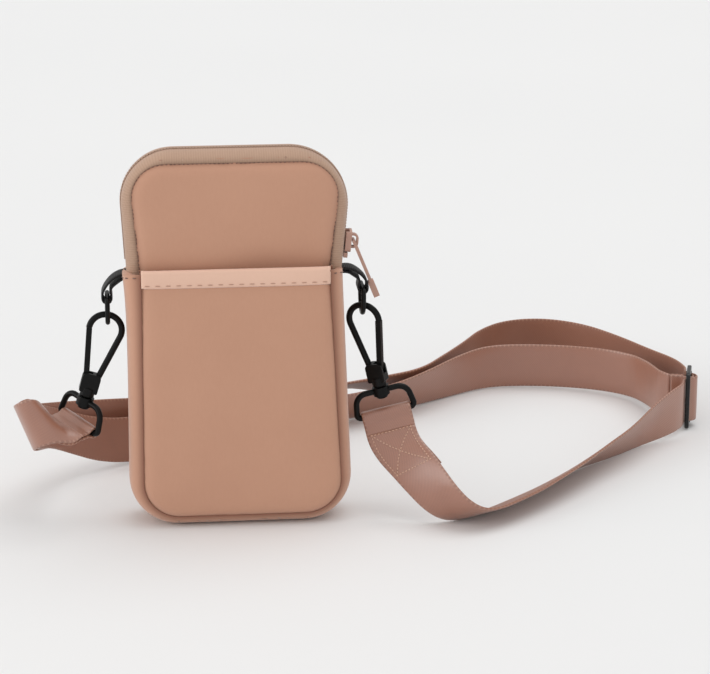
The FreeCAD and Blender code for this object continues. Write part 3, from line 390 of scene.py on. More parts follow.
right_lead = cut_end(long_band, SEWN_LENGTH, lift=-2 * LAYER, spare=0.002)
right_fold = fold_band(right_lead, RIGHT_BAR, RIGHT_ACROSS, RIGHT_LEAVE, EYE_RADIUS, tail=0.0095, gap=LAYER)
left_fold = fold_band([], LEFT_BAR, LEFT_ACROSS, LEFT_LEAVE, EYE_RADIUS, tail=0.0080, gap=LAYER)
glide_fold = fold_band([], GLIDE_BAR, GLIDE_ACROSS, GLIDE_LEAVE, GLIDE_RADIUS, tail=0.0100, gap=GLIDE_GAP)
folds = {"strap_right_fold": right_fold, "strap_left_fold": left_fold, "strap_sewn_end": glide_fold}
webbing_pieces = [strap_long, strap_return]
for node, band in folds.items():
    piece = add_piece(f"{node}_cloth", woven(band, STRAP_WIDTH, STRAP_WALL))
    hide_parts(node)
    webbing_pieces.append(piece)
    print(node, f"{band.along[-1] * 1000:.0f} mm of webbing")

# %% [markdown]
# ## Writing finishes as sums
#
# A finish is a small calculation for every point of a surface. Wrapping a node's socket in a class with
# Python's operators lets that calculation be read as one, and a single method adds any other node.

# %% Helper: finishes


class Wire:
    """A value on its way through a finish."""

    def __init__(self, finish, socket):
        self.finish = finish
        self.socket = socket

    def math(self, operation, *values):
        return self.finish.node("ShaderNodeMath", {"operation": operation}, dict(enumerate(values)))

    def __add__(self, other):
        return self.math("ADD", self, other)

    def __sub__(self, other):
        return self.math("SUBTRACT", self, other)

    def __rsub__(self, other):
        return self.math("SUBTRACT", other, self)

    def __mul__(self, other):
        return self.math("MULTIPLY", self, other)

    def sin(self):
        return self.math("SINE", self)

    def size(self):
        return self.math("ABSOLUTE", self)

    def above(self, low, high):
        """0 below low, 1 over high, smooth between."""
        settings = {"interpolation_type": "SMOOTHSTEP"}
        inputs = {"Value": self, "From Min": low, "From Max": high}
        return self.finish.node("ShaderNodeMapRange", settings, inputs)


class Finish:
    """A material, its main shader, and one way to add nodes."""

    def __init__(self, name, **constants):
        self.material = bpy.data.materials.new(name)
        self.material.use_nodes = True
        self.tree = self.material.node_tree
        self.shader = next(n for n in self.tree.nodes if n.type == "BSDF_PRINCIPLED")
        for socket, value in constants.items():
            self.put(self.shader.inputs[socket.replace("_", " ")], value)

    def put(self, socket, value):
        """A value or a link into a socket."""
        if isinstance(value, Wire):
            self.tree.links.new(value.socket, socket)
        elif isinstance(value, tuple) and socket.type == "RGBA":
            socket.default_value = (*value, 1.0)
        else:
            socket.default_value = value

    def node(self, kind, settings=None, inputs=None, output=0):
        """Any node: its settings first, then its sockets, and one of its outputs."""
        made = self.tree.nodes.new(kind)
        for name, value in (settings or {}).items():
            setattr(made, name, value)
        for name, value in (inputs or {}).items():
            self.put(made.inputs[name], value)
        return Wire(self, made.outputs[output])

    def place(self):
        return self.node("ShaderNodeTexCoord", output="Object")

    def mark(self, name):
        """A number stored on the piece's points."""
        return self.node("ShaderNodeAttribute", {"attribute_name": name}, output="Fac")

    def speckle(self, scale, detail=2.0, stretch=None):
        """Noise with so many grains to a metre."""
        where = self.place()
        if stretch:
            where = self.node("ShaderNodeMapping", inputs={"Vector": where, "Scale": stretch})
        return self.node("ShaderNodeTexNoise", inputs={"Vector": where, "Scale": scale, "Detail": detail})

    def mix(self, share, first, second):
        """One colour passing into another."""
        inputs = {0: share, 6: first, 7: second}
        return self.node("ShaderNodeMix", {"data_type": "RGBA"}, inputs, output=2)

    def relief(self, height, strength, depth):
        """A bump for the shader's normal."""
        inputs = {"Height": height, "Strength": strength, "Distance": depth}
        self.put(self.shader.inputs["Normal"], self.node("ShaderNodeBump", inputs=inputs))

    def use(self, socket, value):
        self.put(self.shader.inputs[socket], value)


def dress(piece, finish):
    """Gives a new piece its finish."""
    piece.data.materials.clear()
    piece.data.materials.append(finish.material)


# %% [markdown]
# ## Satin webbing
#
# The strap is woven tightly, with fine ribs across it and a slanted satin float over them that catches
# the light. Its two edges are bound more tightly with small paler loops, and its reverse has less float
# and less shine. The reverse mark also carries a painted shade, darker and duller, on the return length
# behind the pouch's left side. Everything here reads the marks along, across and reverse.

# %% Webbing finish
webbing = Finish("webbing", Sheen_Weight=0.10, Sheen_Roughness=0.35, Coat_IOR=1.9, Coat_Roughness=0.36)
along, across, reverse_and_painted_shade = webbing.mark("along"), webbing.mark("across"), webbing.mark("reverse_and_painted_shade")
float_line = (along * 5.2 + across * 6.4).sin() * 0.5 + 0.5
rib = (along * 9.0).sin() * 0.5 + 0.5
edge = across.size().above(11.0, 11.9)
picot = (along * 2.6).sin().above(0.1, 0.5)
stripe = (across.size() - 9.9).size().above(0.0, 0.35)
cloudy = webbing.speckle(60.0, 3.0)
woven_height = float_line * 0.6 + rib * 0.4 - edge * 0.3
body_colour = webbing.mix(float_line * 0.55 + cloudy * 0.35, (0.258, 0.098, 0.056), (0.412, 0.172, 0.103))
# darker brown for the reverse face, and as painted shade behind the pouch's left side
sided_and_shaded_colour = webbing.mix(reverse_and_painted_shade * 0.4, body_colour, (0.235, 0.090, 0.048))
edge_colour = webbing.mix(picot, (0.20, 0.080, 0.047), (0.46, 0.26, 0.18))
webbing.use("Base Color", webbing.mix(edge * 0.4, sided_and_shaded_colour, edge_colour))
webbing.use("Roughness", 0.50 - float_line * 0.12 + edge * 0.15 + reverse_and_painted_shade * 0.2)
webbing.use("Coat Weight", 0.75 - reverse_and_painted_shade * 0.5)
webbing.relief(woven_height * stripe, 0.35, 0.00018)
for piece in webbing_pieces:
    dress(piece, webbing)
print("webbing dressed")

# %% [markdown]
# ## The pouch's edge
#
# Panels, zip and gusset all follow one seam: a tall shape with round corners that draws in a little
# where the zip ends. Outside it runs a rim that the tape and the gusset bulge out to. The seam is kept
# as two open paths, over the top and round the base. Each point has its outward direction and how far
# it swells to reach the rim.

# %% Outline paths
ZIP_END, BASE, TOP = 127.0, 6.0, 182.0
TOP_SEAM = ((43.4, ZIP_END), (49.7, TOP), (-52.0, TOP), (-47.2, ZIP_END))
TOP_RIM = ((44.5, ZIP_END), (49.3, TOP), (-51.4, TOP), (-48.4, ZIP_END))
BASE_SEAM = ((-47.2, ZIP_END), (-48.3, BASE), (49.6, BASE), (43.4, ZIP_END))
BASE_RIM = ((-48.4, ZIP_END), (-49.9, BASE), (49.3, BASE), (44.5, ZIP_END))
RIM_OUT = 6.0


def edge_path(corners, radii, step=1.6):
    """Points and outward directions along straight runs with two rounded corners, in millimetres."""
    corners = [np.array(c) for c in corners]
    points = []

    def run(start, end):
        count = max(2, int(np.linalg.norm(end - start) / step))
        points.extend(start + (end - start) * k / count for k in range(count))

    begin = corners[0]
    for previous, corner, following, radius in zip(corners, corners[1:], corners[2:], radii):
        back = (previous - corner) / np.linalg.norm(previous - corner)
        ahead = (following - corner) / np.linalg.norm(following - corner)
        half = math.acos(float(back @ ahead)) / 2
        reach = radius / math.tan(half)
        middle = corner + (back + ahead) / np.linalg.norm(back + ahead) * radius / math.sin(half)
        entry, leave = corner + back * reach, corner + ahead * reach
        run(begin, entry)
        a, b = entry - middle, leave - middle
        sweep = math.acos(float(a @ b) / radius**2)
        count = int(sweep * radius / (0.75 * step))
        for k in range(count):
            t = sweep * k / count
            points.append(middle + (a * math.sin(sweep - t) + b * math.sin(t)) / math.sin(sweep))
        begin = leave
    run(begin, corners[-1])
    points.append(corners[-1])
    points = np.array(points)
    tangent = np.gradient(points, axis=0)
    outward = unit(np.stack([tangent[:, 1], -tangent[:, 0]], axis=1))
    return points, outward


def reach_to(points, outward, rim):
    """How far each point of a path lies from a rim, straight outwards."""
    ray = rim[None, :, :] - points[:, None, :]
    ahead = (ray * outward[:, None, :]).sum(axis=2)
    aside = np.abs(ray[..., 0] * outward[:, None, 1] - ray[..., 1] * outward[:, None, 0])
    nearest = np.where(ahead > 0, aside, np.inf).argmin(axis=1)
    return ahead[np.arange(len(points)), nearest]


def seam_path(seam, seam_radii, rim, rim_radii):
    """A seam's points and outward directions, and how much its strip swells to meet the rim."""
    points, outward = edge_path(seam, seam_radii)
    rim_points, rim_outward = edge_path(rim, rim_radii, 0.2)
    return points, outward, reach_to(points, outward, rim_points + rim_outward * RIM_OUT) / RIM_OUT


def path_length(points):
    return np.concatenate([[0.0], np.cumsum(np.linalg.norm(np.diff(points, axis=0), axis=1))])


LEFT_FLARE, FLARE_LENGTH = 0.38, 18.0
top_points, top_out, top_swell = seam_path(TOP_SEAM, (16.0, 15.2), TOP_RIM, (22.5, 19.5))
base_points, base_out, base_swell = seam_path(BASE_SEAM, (17.5, 17.5), BASE_RIM, (18.0, 18.0))
base_swell = base_swell + LEFT_FLARE * np.exp(-path_length(base_points) / FLARE_LENGTH)
print(len(top_points) + len(base_points), "points round the pouch")


def swept(points, outward, swell, section, marks=None, rise=0.0):
    """A mesh swept along a path. Its section is distances out of the seam and depths, lifted by rise."""
    section = np.asarray(section)
    flat = points[:, None, :] + outward[:, None, :] * (swell[:, None] * section[None, :, 0])[..., None]
    depth = np.broadcast_to(section[None, :, 1], flat.shape[:2])
    rows = np.stack([flat[..., 0], depth, flat[..., 1] + rise], axis=-1) * MM
    return lofted(rows, closed=True, marks=marks)


# %% [markdown]
# ## Panels with a puffed face
#
# Foam-backed knit is soft in the middle and pinched hard at its seam. For each point of a panel the
# distance to the outline says how much of the face's height it keeps, so one rule gives the crown and
# the pinched edge together.

# %% Panels


def grown_edge(grow):
    """The outline moved outwards by a seam allowance."""
    return np.concatenate([top_points + top_out * grow, base_points + base_out * grow])


def edge_distance(x, z, grow):
    """Distance from points to the grown outline, in millimetres."""
    spots = np.stack([x.ravel(), z.ravel()], axis=1)
    gaps = np.linalg.norm(spots[:, None, :] - grown_edge(grow)[None, :, :], axis=2)
    return gaps.min(axis=1).reshape(x.shape)


def side_edges(z, grow):
    """Where the grown outline's left and right sides lie at heights."""
    edge = grown_edge(grow)
    edge = edge[np.argsort(edge[:, 1])]
    sides = (edge[edge[:, 0] < -30], edge[edge[:, 0] > 30])
    return [np.interp(z, side[:, 1], side[:, 0]) for side in sides]


def panel_grid(low, high, grow, columns=61, rows=121):
    """A grid inside the grown outline between two heights, closer together near its edges."""
    share = np.linspace(-1, 1, columns)
    across = np.sign(share) * (1 - (1 - np.abs(share)) ** 1.6)
    lift = (1 - np.cos(np.linspace(0, math.pi, rows))) / 2
    z = np.broadcast_to((low + (high - low) * lift)[:, None], (rows, columns))
    left, right = side_edges(z, grow)
    x = (left + right) / 2 + (right - left) / 2 * across[None, :]
    return x, z


CROWN_REACH, PINCH_REACH = 34.0, 2.3
PANEL_PINCH, HEM_PINCH = 2.6, 1.3


def puffed(distance, crown, pinch):
    """Height of a panel's face: pinched at its seam, then a slow crown."""
    rise = 1 - (1 - np.clip(distance / CROWN_REACH, 0, 1)) ** 2
    return crown * rise - pinch * np.exp(-((distance / PINCH_REACH) ** 1.3))


def add_panel(node, side, face, crown, grow, low, high, lean=None, wall=2.2):
    """A puffed panel on the front (-1) or back (+1) of the pouch."""
    x, z = panel_grid(low, high, grow)
    distance = edge_distance(x, z, grow)
    height = face + puffed(distance, crown, PANEL_PINCH)
    if lean is not None:
        height = height - lean(x, z)
    wrinkle = 0.18 * np.sin(x / 9.0 + 0.6 * np.sin(z / 17.0)) * np.exp(-((distance - 9) / 8) ** 2)
    rows = np.stack([x, side * (height + wrinkle), z], axis=-1) * MM
    # painted shade: the knit's colour darkens towards the seam groove
    seam = np.exp(-distance / 0.9)
    mesh = lofted(rows, closed=False, marks={"seam": seam})
    flat_normal = mesh.polygons[len(mesh.polygons) // 2].normal.y
    if flat_normal * side < 0:
        mesh.flip_normals()
    piece = add_piece(f"{node}_cloth", mesh)
    thick = piece.modifiers.new("foam", "SOLIDIFY")
    thick.thickness = wall * MM
    thick.offset = -1.0
    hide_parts(node)
    return piece


PANEL_FACE, PANEL_GROW = 12.9, 0.9
PANEL_SPAN = (BASE - PANEL_GROW, TOP + PANEL_GROW)
FRONT_CROWN, BACK_CROWN = 1.1, 1.6
POCKET_FACE, POCKET_GROW = 20.6, 1.2
POCKET_TOP, POCKET_CROWN = 131.0, 2.0
POCKET_SPAN = (BASE - POCKET_GROW, POCKET_TOP)
LEAN_START = 88.0


def pocket_lean(x, z):
    """The pocket's free top edge falls towards the panel behind it, most in the middle."""
    rise = np.clip((z - LEAN_START) / (POCKET_TOP - LEAN_START), 0, 1)
    return 3.2 * rise**2 * (1 - 0.65 * np.abs(x / 46.0) ** 3)


def front_dent(x, z):
    """The front panel gives way a little behind the pocket's mouth, right of the middle."""
    return 2.4 * np.exp(-(((x - 16.0) / 24.0) ** 2) - ((z - POCKET_TOP) / 9.0) ** 2)


front_panel = add_panel("front_panel", -1, PANEL_FACE, FRONT_CROWN, PANEL_GROW, *PANEL_SPAN, front_dent)
back_panel = add_panel("back_panel", 1, PANEL_FACE, BACK_CROWN, PANEL_GROW, *PANEL_SPAN)
pocket_form = (POCKET_FACE, POCKET_CROWN, POCKET_GROW, *POCKET_SPAN, pocket_lean)
pocket_panel = add_panel("pocket_panel", -1, *pocket_form)

# %% [markdown]
# ## Gusset and zip tape
#
# The lower gusset is one strip of the same knit, bulging between its two sewn seams, with its two ends
# drawn up to the pocket's hem. The zip's tape is thinner and ribbed, in two halves that meet at the
# teeth. Both are sections carried along the seam.

# %% Lower gusset
GUSSET_FRONT, GUSSET_BACK = -19.4, 12.0
GUSSET_BULGE, GUSSET_WALL = 6.0, 2.4
SEAM_OUT = 0.2
END_LIFT, END_REACH = 3.6, 7.0


def gusset_section(front, back, bulge, wall, count=30):
    """A bulging strip's section between a front and a back seam, outer face then inner face."""
    t = np.sin(np.linspace(-math.pi / 2, math.pi / 2, count))
    depth = (front + back) / 2 + t * (back - front) / 2
    out = SEAM_OUT + (bulge - SEAM_OUT) * (1 - np.abs(t) ** 4.2) ** 0.62
    inner_t = t[2:-2][::-1]
    inner_depth = (front + back) / 2 + inner_t * (back - front) / 2 * 0.94
    inner_out = SEAM_OUT + (bulge - SEAM_OUT - wall) * (1 - np.abs(inner_t) ** 4.2) ** 0.62 - 0.6
    return np.concatenate([np.stack([out, depth], 1), np.stack([inner_out, inner_depth], 1)])


def seam_shade_mark(section, front, back, points):
    """How near each point of a swept strip lies to one of its two seams, for painted seam shade."""
    near = np.minimum(section[:, 1] - front, back - section[:, 1])
    return np.broadcast_to(np.exp(-np.maximum(near, 0) / 0.9)[None, :], (len(points), len(section)))


def end_rise(points, depth):
    """How much the strip's two cut ends are drawn up at the front, where they meet the hem."""
    length = path_length(points)
    near_end = np.exp(-((np.minimum(length, length[-1] - length) / END_REACH) ** 2))
    middle, half = (GUSSET_FRONT + GUSSET_BACK) / 2, (GUSSET_BACK - GUSSET_FRONT) / 2
    return END_LIFT * near_end[:, None] * np.clip((middle - depth) / half, 0, 1)[None, :]


low_section = gusset_section(GUSSET_FRONT, GUSSET_BACK, GUSSET_BULGE, GUSSET_WALL)
low_marks = {"seam": seam_shade_mark(low_section, GUSSET_FRONT, GUSSET_BACK, base_points)}
low_rise = end_rise(base_points, low_section[:, 1])
low_mesh = swept(base_points, base_out, base_swell, low_section, low_marks, low_rise)
lower_gusset = add_piece("lower_gusset_cloth", low_mesh)
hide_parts("lower_gusset")

# %% Zip tape, front and back halves
TAPE_OUTSIDE = [
    *((-0.2, 10.0), (0.5, 10.7), (1.4, 11.1), (2.5, 10.9)),
    *((3.7, 10.0), (4.8, 8.4), (5.6, 6.4), (6.0, 4.2)),
]
TAPE_LIP = [(6.1, 2.6), (6.0, 0.6), (5.2, 0.5), (5.1, 2.6)]
TAPE_INSIDE = [(5.0, 4.0), (4.6, 5.8), (3.9, 7.5), (2.9, 9.0), (1.8, 9.9), (0.8, 10.0), (-0.1, 9.3)]
TAPE_HALF = np.array(TAPE_OUTSIDE + TAPE_LIP + TAPE_INSIDE)


def add_tape(node, side):
    """One half of the tape, marked with its length for the ribs and with its seam for painted shade."""
    section = TAPE_HALF * np.array([1, side])
    shape = (len(top_points), len(section))
    marks = {
        "along": np.broadcast_to(path_length(top_points)[:, None], shape),
        "seam": np.broadcast_to(np.exp(-np.maximum(section[:, 0] - 0.4, 0) / 0.7)[None, :], shape),
    }
    piece = add_piece(f"{node}_cloth", swept(top_points, top_out, top_swell, section, marks))
    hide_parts(node)
    return piece


tape_front = add_tape("zip_tape_front", -1)
tape_back = add_tape("zip_tape_back", 1)

# %% [markdown]
# ## The rolled hem
#
# The pocket's mouth is bound with a lighter band that goes over its edge. It follows the panel's own
# face, a hair's breadth in front of it, rolls over the top and ends inside.

# %% Hem
HEM_FRONT = np.linspace(123.5, 130.6, 12)
HEM_INSIDE = np.linspace(130.4, 123.3, 5)
HEM_INSET = 0.7
ROLL_ANGLES = np.linspace(0, math.pi, 9)[1:-1]
ROLL_BACK, ROLL_DEPTH, ROLL_RISE = 1.1, 1.85, 1.5


def pocket_face(x, z):
    """Depth of the pocket panel's face under the hem, in millimetres, as a positive number."""
    distance = edge_distance(x, z, POCKET_GROW)
    return POCKET_FACE + puffed(distance, POCKET_CROWN, HEM_PINCH) - pocket_lean(x, z)


def hem_column(place):
    """Points of the hem at one place across: up its front, over the roll and down inside."""
    face = pocket_face(np.full(len(HEM_FRONT), place), HEM_FRONT)
    bulge = 0.75 + 0.25 * np.sin(np.linspace(0, math.pi, len(HEM_FRONT))) + 0.025 * math.sin(place / 15.0)
    bulge[0] = 0.12
    middle = face[-1] - ROLL_BACK
    depth = [
        face + bulge,
        middle + ROLL_DEPTH * np.cos(ROLL_ANGLES),
        np.full(len(HEM_INSIDE), middle - ROLL_DEPTH),
    ]
    height = [HEM_FRONT, HEM_FRONT[-1] + ROLL_RISE * np.sin(ROLL_ANGLES), HEM_INSIDE]
    depth, height = np.concatenate(depth), np.concatenate(height)
    return np.stack([np.full(len(depth), place), -depth, height], axis=1)


def hem_rows(columns=97):
    """The hem's points for each place across the pocket's mouth."""
    left, right = side_edges(ZIP_END, POCKET_GROW - HEM_INSET)
    return np.array([hem_column(place) for place in np.linspace(left, right, columns)])


hem_points = hem_rows()
hem_mesh = lofted(hem_points * MM, closed=False, marks={"seam": np.zeros(hem_points.shape[:2])})
if hem_mesh.polygons[5].normal.y > 0:
    hem_mesh.flip_normals()
hem = add_piece("pocket_hem_cloth", hem_mesh)
hem_wall = hem.modifiers.new("cloth", "SOLIDIFY")
hem_wall.thickness = 0.6 * MM
hem_wall.offset = -1.0
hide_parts("pocket_hem")

# %% [markdown]
# ## Knit and ribbed finishes
#
# The knit face is matte and a little fuzzy: fine grain in its height, slow clouds in its colour, a
# sheen at grazing angles, and a painted shade where it is pinched into a seam. The tape has close ribs
# across it and the same painted shade along its seam.

# %% Knit, hem and tape finishes


def knit_finish(name, light, deep, groove_shade):
    """A foam-backed knit in one colour, painted darker as shade towards its seams."""
    knit = Finish(name, Sheen_Weight=0.35, Sheen_Roughness=0.5, Specular_IOR_Level=0.25)
    grain = knit.speckle(1500.0, 2.0)
    thread = knit.speckle(900.0, 1.0, stretch=(1.0, 1.0, 0.35))
    clouds = knit.speckle(28.0, 3.0)
    colour = knit.mix(clouds * 0.7 + thread * 0.3, deep, light)
    # painted shade in the seam groove
    knit.use("Base Color", knit.mix(knit.mark("seam") * 0.85, colour, groove_shade))
    knit.use("Roughness", grain * 0.15 + 0.72)
    knit.relief(grain * 0.5 + thread * 0.5, 0.22, 0.00025)
    return knit


neoprene = knit_finish("neoprene_knit", (0.596, 0.330, 0.224), (0.532, 0.283, 0.188), (0.22, 0.090, 0.057))
hem_knit = knit_finish("hem_knit", (0.812, 0.538, 0.414), (0.752, 0.484, 0.368), (0.45, 0.24, 0.17))
tape_rib = Finish("zip_tape_rib", Sheen_Weight=0.2, Sheen_Roughness=0.4, Specular_IOR_Level=0.3)
rib = (tape_rib.mark("along") * 5.4).sin() * 0.5 + 0.5
fuzz = tape_rib.speckle(700.0, 2.0)
tape_colour = tape_rib.mix(rib * 0.35 + fuzz * 0.4, (0.415, 0.264, 0.186), (0.520, 0.345, 0.250))
# painted shade: the tape darkens towards its seam
tape_rib.use("Base Color", tape_rib.mix(tape_rib.mark("seam") * 0.8, tape_colour, (0.14, 0.075, 0.05)))
tape_rib.use("Roughness", fuzz * 0.15 + 0.65)
tape_rib.relief(rib, 0.4, 0.0002)
for piece in (front_panel, back_panel, pocket_panel, lower_gusset):
    dress(piece, neoprene)
dress(hem, hem_knit)
for piece in (tape_front, tape_back):
    dress(piece, tape_rib)
print("pouch dressed")

# %% [markdown]
# ## Ribbon tabs
#
# Each D-ring hangs in a short black ribbon. It leaves the side of the pouch, arches over and goes round
# the ring's bar and back, so the two layers lie on each other near the pouch and part round the bar.

# %% Tabs
RIBBON_WIDTH, RIBBON_WALL = 0.0100, 0.0011


def tab_band(side, bar_x, bar_z, root=50.2):
    """A ribbon from the pouch's side round the bar and back, in the XZ plane."""
    reach = bar_x - root
    points = [
        (root, 126.6),
        (root + 0.35 * reach, 127.4),
        (root + 0.80 * reach, 125.0),
        (bar_x + 1.9, bar_z + 4.2),
        (bar_x + 2.6, bar_z - 0.2),
        (bar_x + 1.2, bar_z - 2.5),
        (bar_x - 1.5, bar_z - 2.2),
        (bar_x - 2.4, bar_z + 0.6),
        (bar_x - 1.2, bar_z + 4.6),
        (root + 0.62 * reach, 123.0),
        (root + 0.30 * reach, 125.6),
        (root, 125.2),
    ]
    middle = read_spline([mm(side * x, 0, z) for x, z in points])
    return Band(middle, np.broadcast_to(np.array([0.0, 1.0, 0.0]), middle.shape))


ribbon = Finish("black_ribbon", Sheen_Weight=0.03, Sheen_Roughness=0.4, Specular_IOR_Level=0.2)
cross_rib = (ribbon.mark("along") * 7.0).sin() * 0.5 + 0.5
ribbon.use("Base Color", ribbon.mix(cross_rib * 0.6, (0.008, 0.008, 0.009), (0.022, 0.021, 0.021)))
ribbon.use("Roughness", 0.6 - cross_rib * 0.15)
ribbon.relief(cross_rib, 0.4, 0.0002)
for name, side, bar_x, bar_z in (("left", -1, 64.2, 114.79), ("right", 1, 61.0, 116.49)):
    tab_mesh = woven(tab_band(side, bar_x, bar_z), RIBBON_WIDTH, RIBBON_WALL)
    tab = add_piece(f"{name}_ring_tab_ribbon", tab_mesh)
    dress(tab, ribbon)
    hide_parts(f"{name}_ring_tab")

# %% [markdown]
# ## Rows of stitches and teeth
#
# Stitches and zip teeth repeat along a line, which is what Geometry Nodes are good at: turn a line into
# a curve, set points at an even pitch, put one small shape on each, and turn it along the line. The
# result becomes a plain mesh.

# %% Geometry Nodes: a small shape repeated along lines


def row_tree(name, rounded):
    """A tree that repeats a bead (rounded) or a block along its lines, with sizes as inputs."""
    tree = bpy.data.node_groups.new(name, "GeometryNodeTree")
    tree.interface.new_socket("Lines", in_out="INPUT", socket_type="NodeSocketGeometry")
    for title in ("Pitch", "Length", "Width", "Height"):
        tree.interface.new_socket(title, in_out="INPUT", socket_type="NodeSocketFloat")
    tree.interface.new_socket("Finish", in_out="INPUT", socket_type="NodeSocketMaterial")
    tree.interface.new_socket("Row", in_out="OUTPUT", socket_type="NodeSocketGeometry")
    nodes, links = tree.nodes, tree.links
    source, result = nodes.new("NodeGroupInput"), nodes.new("NodeGroupOutput")

    def add(kind, links_in, **settings):
        made = nodes.new(kind)
        for key, value in settings.items():
            setattr(made, key, value)
        for socket, value in links_in.items():
            if isinstance(value, bpy.types.NodeSocket):
                links.new(value, made.inputs[socket])
            else:
                made.inputs[socket].default_value = value
        return made

    size = add(
        "ShaderNodeCombineXYZ",
        {"X": source.outputs["Length"], "Y": source.outputs["Width"], "Z": source.outputs["Height"]},
    )
    if rounded:
        shape = add("GeometryNodeMeshUVSphere", {"Segments": 6, "Rings": 5, "Radius": 0.5})
    else:
        shape = add("GeometryNodeMeshCube", {"Size": (1.0, 1.0, 1.0)})
    scaled = add("GeometryNodeTransform", {"Geometry": shape.outputs["Mesh"], "Scale": size.outputs[0]})
    curve = add("GeometryNodeMeshToCurve", {"Mesh": source.outputs["Lines"]})
    spaced = {"Curve": curve.outputs[0], "Length": source.outputs["Pitch"]}
    evenly = add("GeometryNodeResampleCurve", spaced, mode="LENGTH")
    tangent = add("GeometryNodeInputTangent", {})
    out = add("GeometryNodeInputNamedAttribute", {"Name": "out"}, data_type="FLOAT_VECTOR")
    turned = add("FunctionNodeAlignRotationToVector", {"Vector": tangent.outputs[0]}, axis="X")
    upright = add(
        "FunctionNodeAlignRotationToVector",
        {"Rotation": turned.outputs[0], "Vector": out.outputs["Attribute"]},
        axis="Z",
        pivot_axis="X",
    )
    row = add(
        "GeometryNodeInstanceOnPoints",
        {"Points": evenly.outputs[0], "Instance": scaled.outputs[0], "Rotation": upright.outputs[0]},
    )
    real = add("GeometryNodeRealizeInstances", {"Geometry": row.outputs[0]})
    smooth = add("GeometryNodeSetShadeSmooth", {"Geometry": real.outputs[0], "Shade Smooth": rounded})
    painting = {"Geometry": smooth.outputs[0], "Material": source.outputs["Finish"]}
    painted = add("GeometryNodeSetMaterial", painting)
    links.new(painted.outputs[0], result.inputs[0])
    return tree


stitch_row = row_tree("stitch_row", True)
tooth_row = row_tree("tooth_row", False)


def add_row(name, tree, lines, sizes, finish):
    """A plain mesh of one tree run over lines of points and directions. Sizes: pitch, then the shape."""
    mesh = bpy.data.meshes.new("lines")
    points, outs, edges = [], [], []
    for spots, outward in lines:
        first = len(points)
        points.extend(spots)
        outs.extend(outward)
        edges.extend((first + k, first + k + 1) for k in range(len(spots) - 1))
    mesh.from_pydata([tuple(p) for p in points], edges, [])
    layer = mesh.attributes.new("out", "FLOAT_VECTOR", "POINT")
    layer.data.foreach_set("vector", np.asarray(outs, dtype=np.float32).ravel())
    holder = bpy.data.objects.new("lines", mesh)
    bpy.context.scene.collection.objects.link(holder)
    modifier = holder.modifiers.new("row", "NODES")
    modifier.node_group = tree
    values = {**dict(zip(("Pitch", "Length", "Width", "Height"), sizes)), "Finish": finish.material}
    for item in tree.interface.items_tree:
        if item.in_out == "INPUT" and item.name in values:
            modifier[item.identifier] = values[item.name]
    bpy.context.view_layer.update()
    result = bpy.data.meshes.new_from_object(holder.evaluated_get(bpy.context.evaluated_depsgraph_get()))
    bpy.data.objects.remove(holder)
    piece = add_piece(name, result)
    print(name, len(result.polygons), "faces")
    return piece


# %% Zip teeth
tooth_finish = Finish("zip_tooth", Specular_IOR_Level=0.4, Roughness=0.45)
tooth_tone = tooth_finish.speckle(300.0, 1.0)
tooth_finish.use("Base Color", tooth_finish.mix(tooth_tone, (0.42, 0.275, 0.20), (0.50, 0.335, 0.25)))


def path_line(points, outward, swell, out, depth, shift=0.0):
    """A line beside a seam: out of it and at a depth, in millimetres, started later by a shift."""
    length = path_length(points)
    at = np.linspace(shift, length[-1], len(points))
    spots = np.stack([np.interp(at, length, points[:, k]) for k in (0, 1)], axis=1)
    aims = np.stack([np.interp(at, length, outward[:, k]) for k in (0, 1)], axis=1)
    flat = spots + aims * np.interp(at, length, swell)[:, None] * out
    line = np.stack([flat[:, 0], np.full(len(flat), depth), flat[:, 1]], axis=1) * MM
    return line, np.stack([aims[:, 0], np.zeros(len(aims)), aims[:, 1]], axis=1)


TOOTH_SIZES = (0.0015, 0.0010, 0.0019, 0.0012)
TOOTH_OUT, TOOTH_DEPTH = 5.98, 1.1
tooth_path = [rows[5:-5] for rows in (top_points, top_out, top_swell)]
for node, side, shift in (("zip_teeth_front", -1, 0.0), ("zip_teeth_back", 1, 0.75)):
    line = path_line(*tooth_path, TOOTH_OUT, side * TOOTH_DEPTH, shift)
    teeth = add_row(f"{node}_row", tooth_row, [line], TOOTH_SIZES, tooth_finish)
    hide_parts(node)

# %% Stitch lines on the pouch and the strap
HEM_STITCH = (0.0048, 0.0028, 0.0006, 0.0005)
PANEL_STITCH = (0.0021, 0.0014, 0.0005, 0.0005)
END_STITCH = (0.0042, 0.0026, 0.0007, 0.0006)
BOX_STITCH = (0.0017, 0.0014, 0.0007, 0.0006)


def two_tone(name, speckle, tones, roughness, span, **constants):
    """A finish that passes between two tones in specks, rougher where it is lighter."""
    finish = Finish(name, **constants)
    specks = finish.speckle(*speckle)
    finish.use("Base Color", finish.mix(specks, *tones))
    finish.use("Roughness", specks * span + roughness)
    return finish


TWIST = (1800.0, 1.0)
DARK_TONES = ((0.12, 0.056, 0.038), (0.20, 0.105, 0.074))
PINK_TONES = ((0.42, 0.225, 0.160), (0.52, 0.295, 0.215))
SATIN_TONES = ((0.50, 0.29, 0.20), (0.68, 0.44, 0.32))
dark_thread = two_tone("dark_thread", TWIST, DARK_TONES, 0.55, 0.2, Sheen_Weight=0.2)
pink_thread = two_tone("pink_thread", TWIST, PINK_TONES, 0.55, 0.2, Sheen_Weight=0.2)
satin_thread = two_tone("satin_thread", TWIST, SATIN_TONES, 0.4, 0.2, Sheen_Weight=0.3)


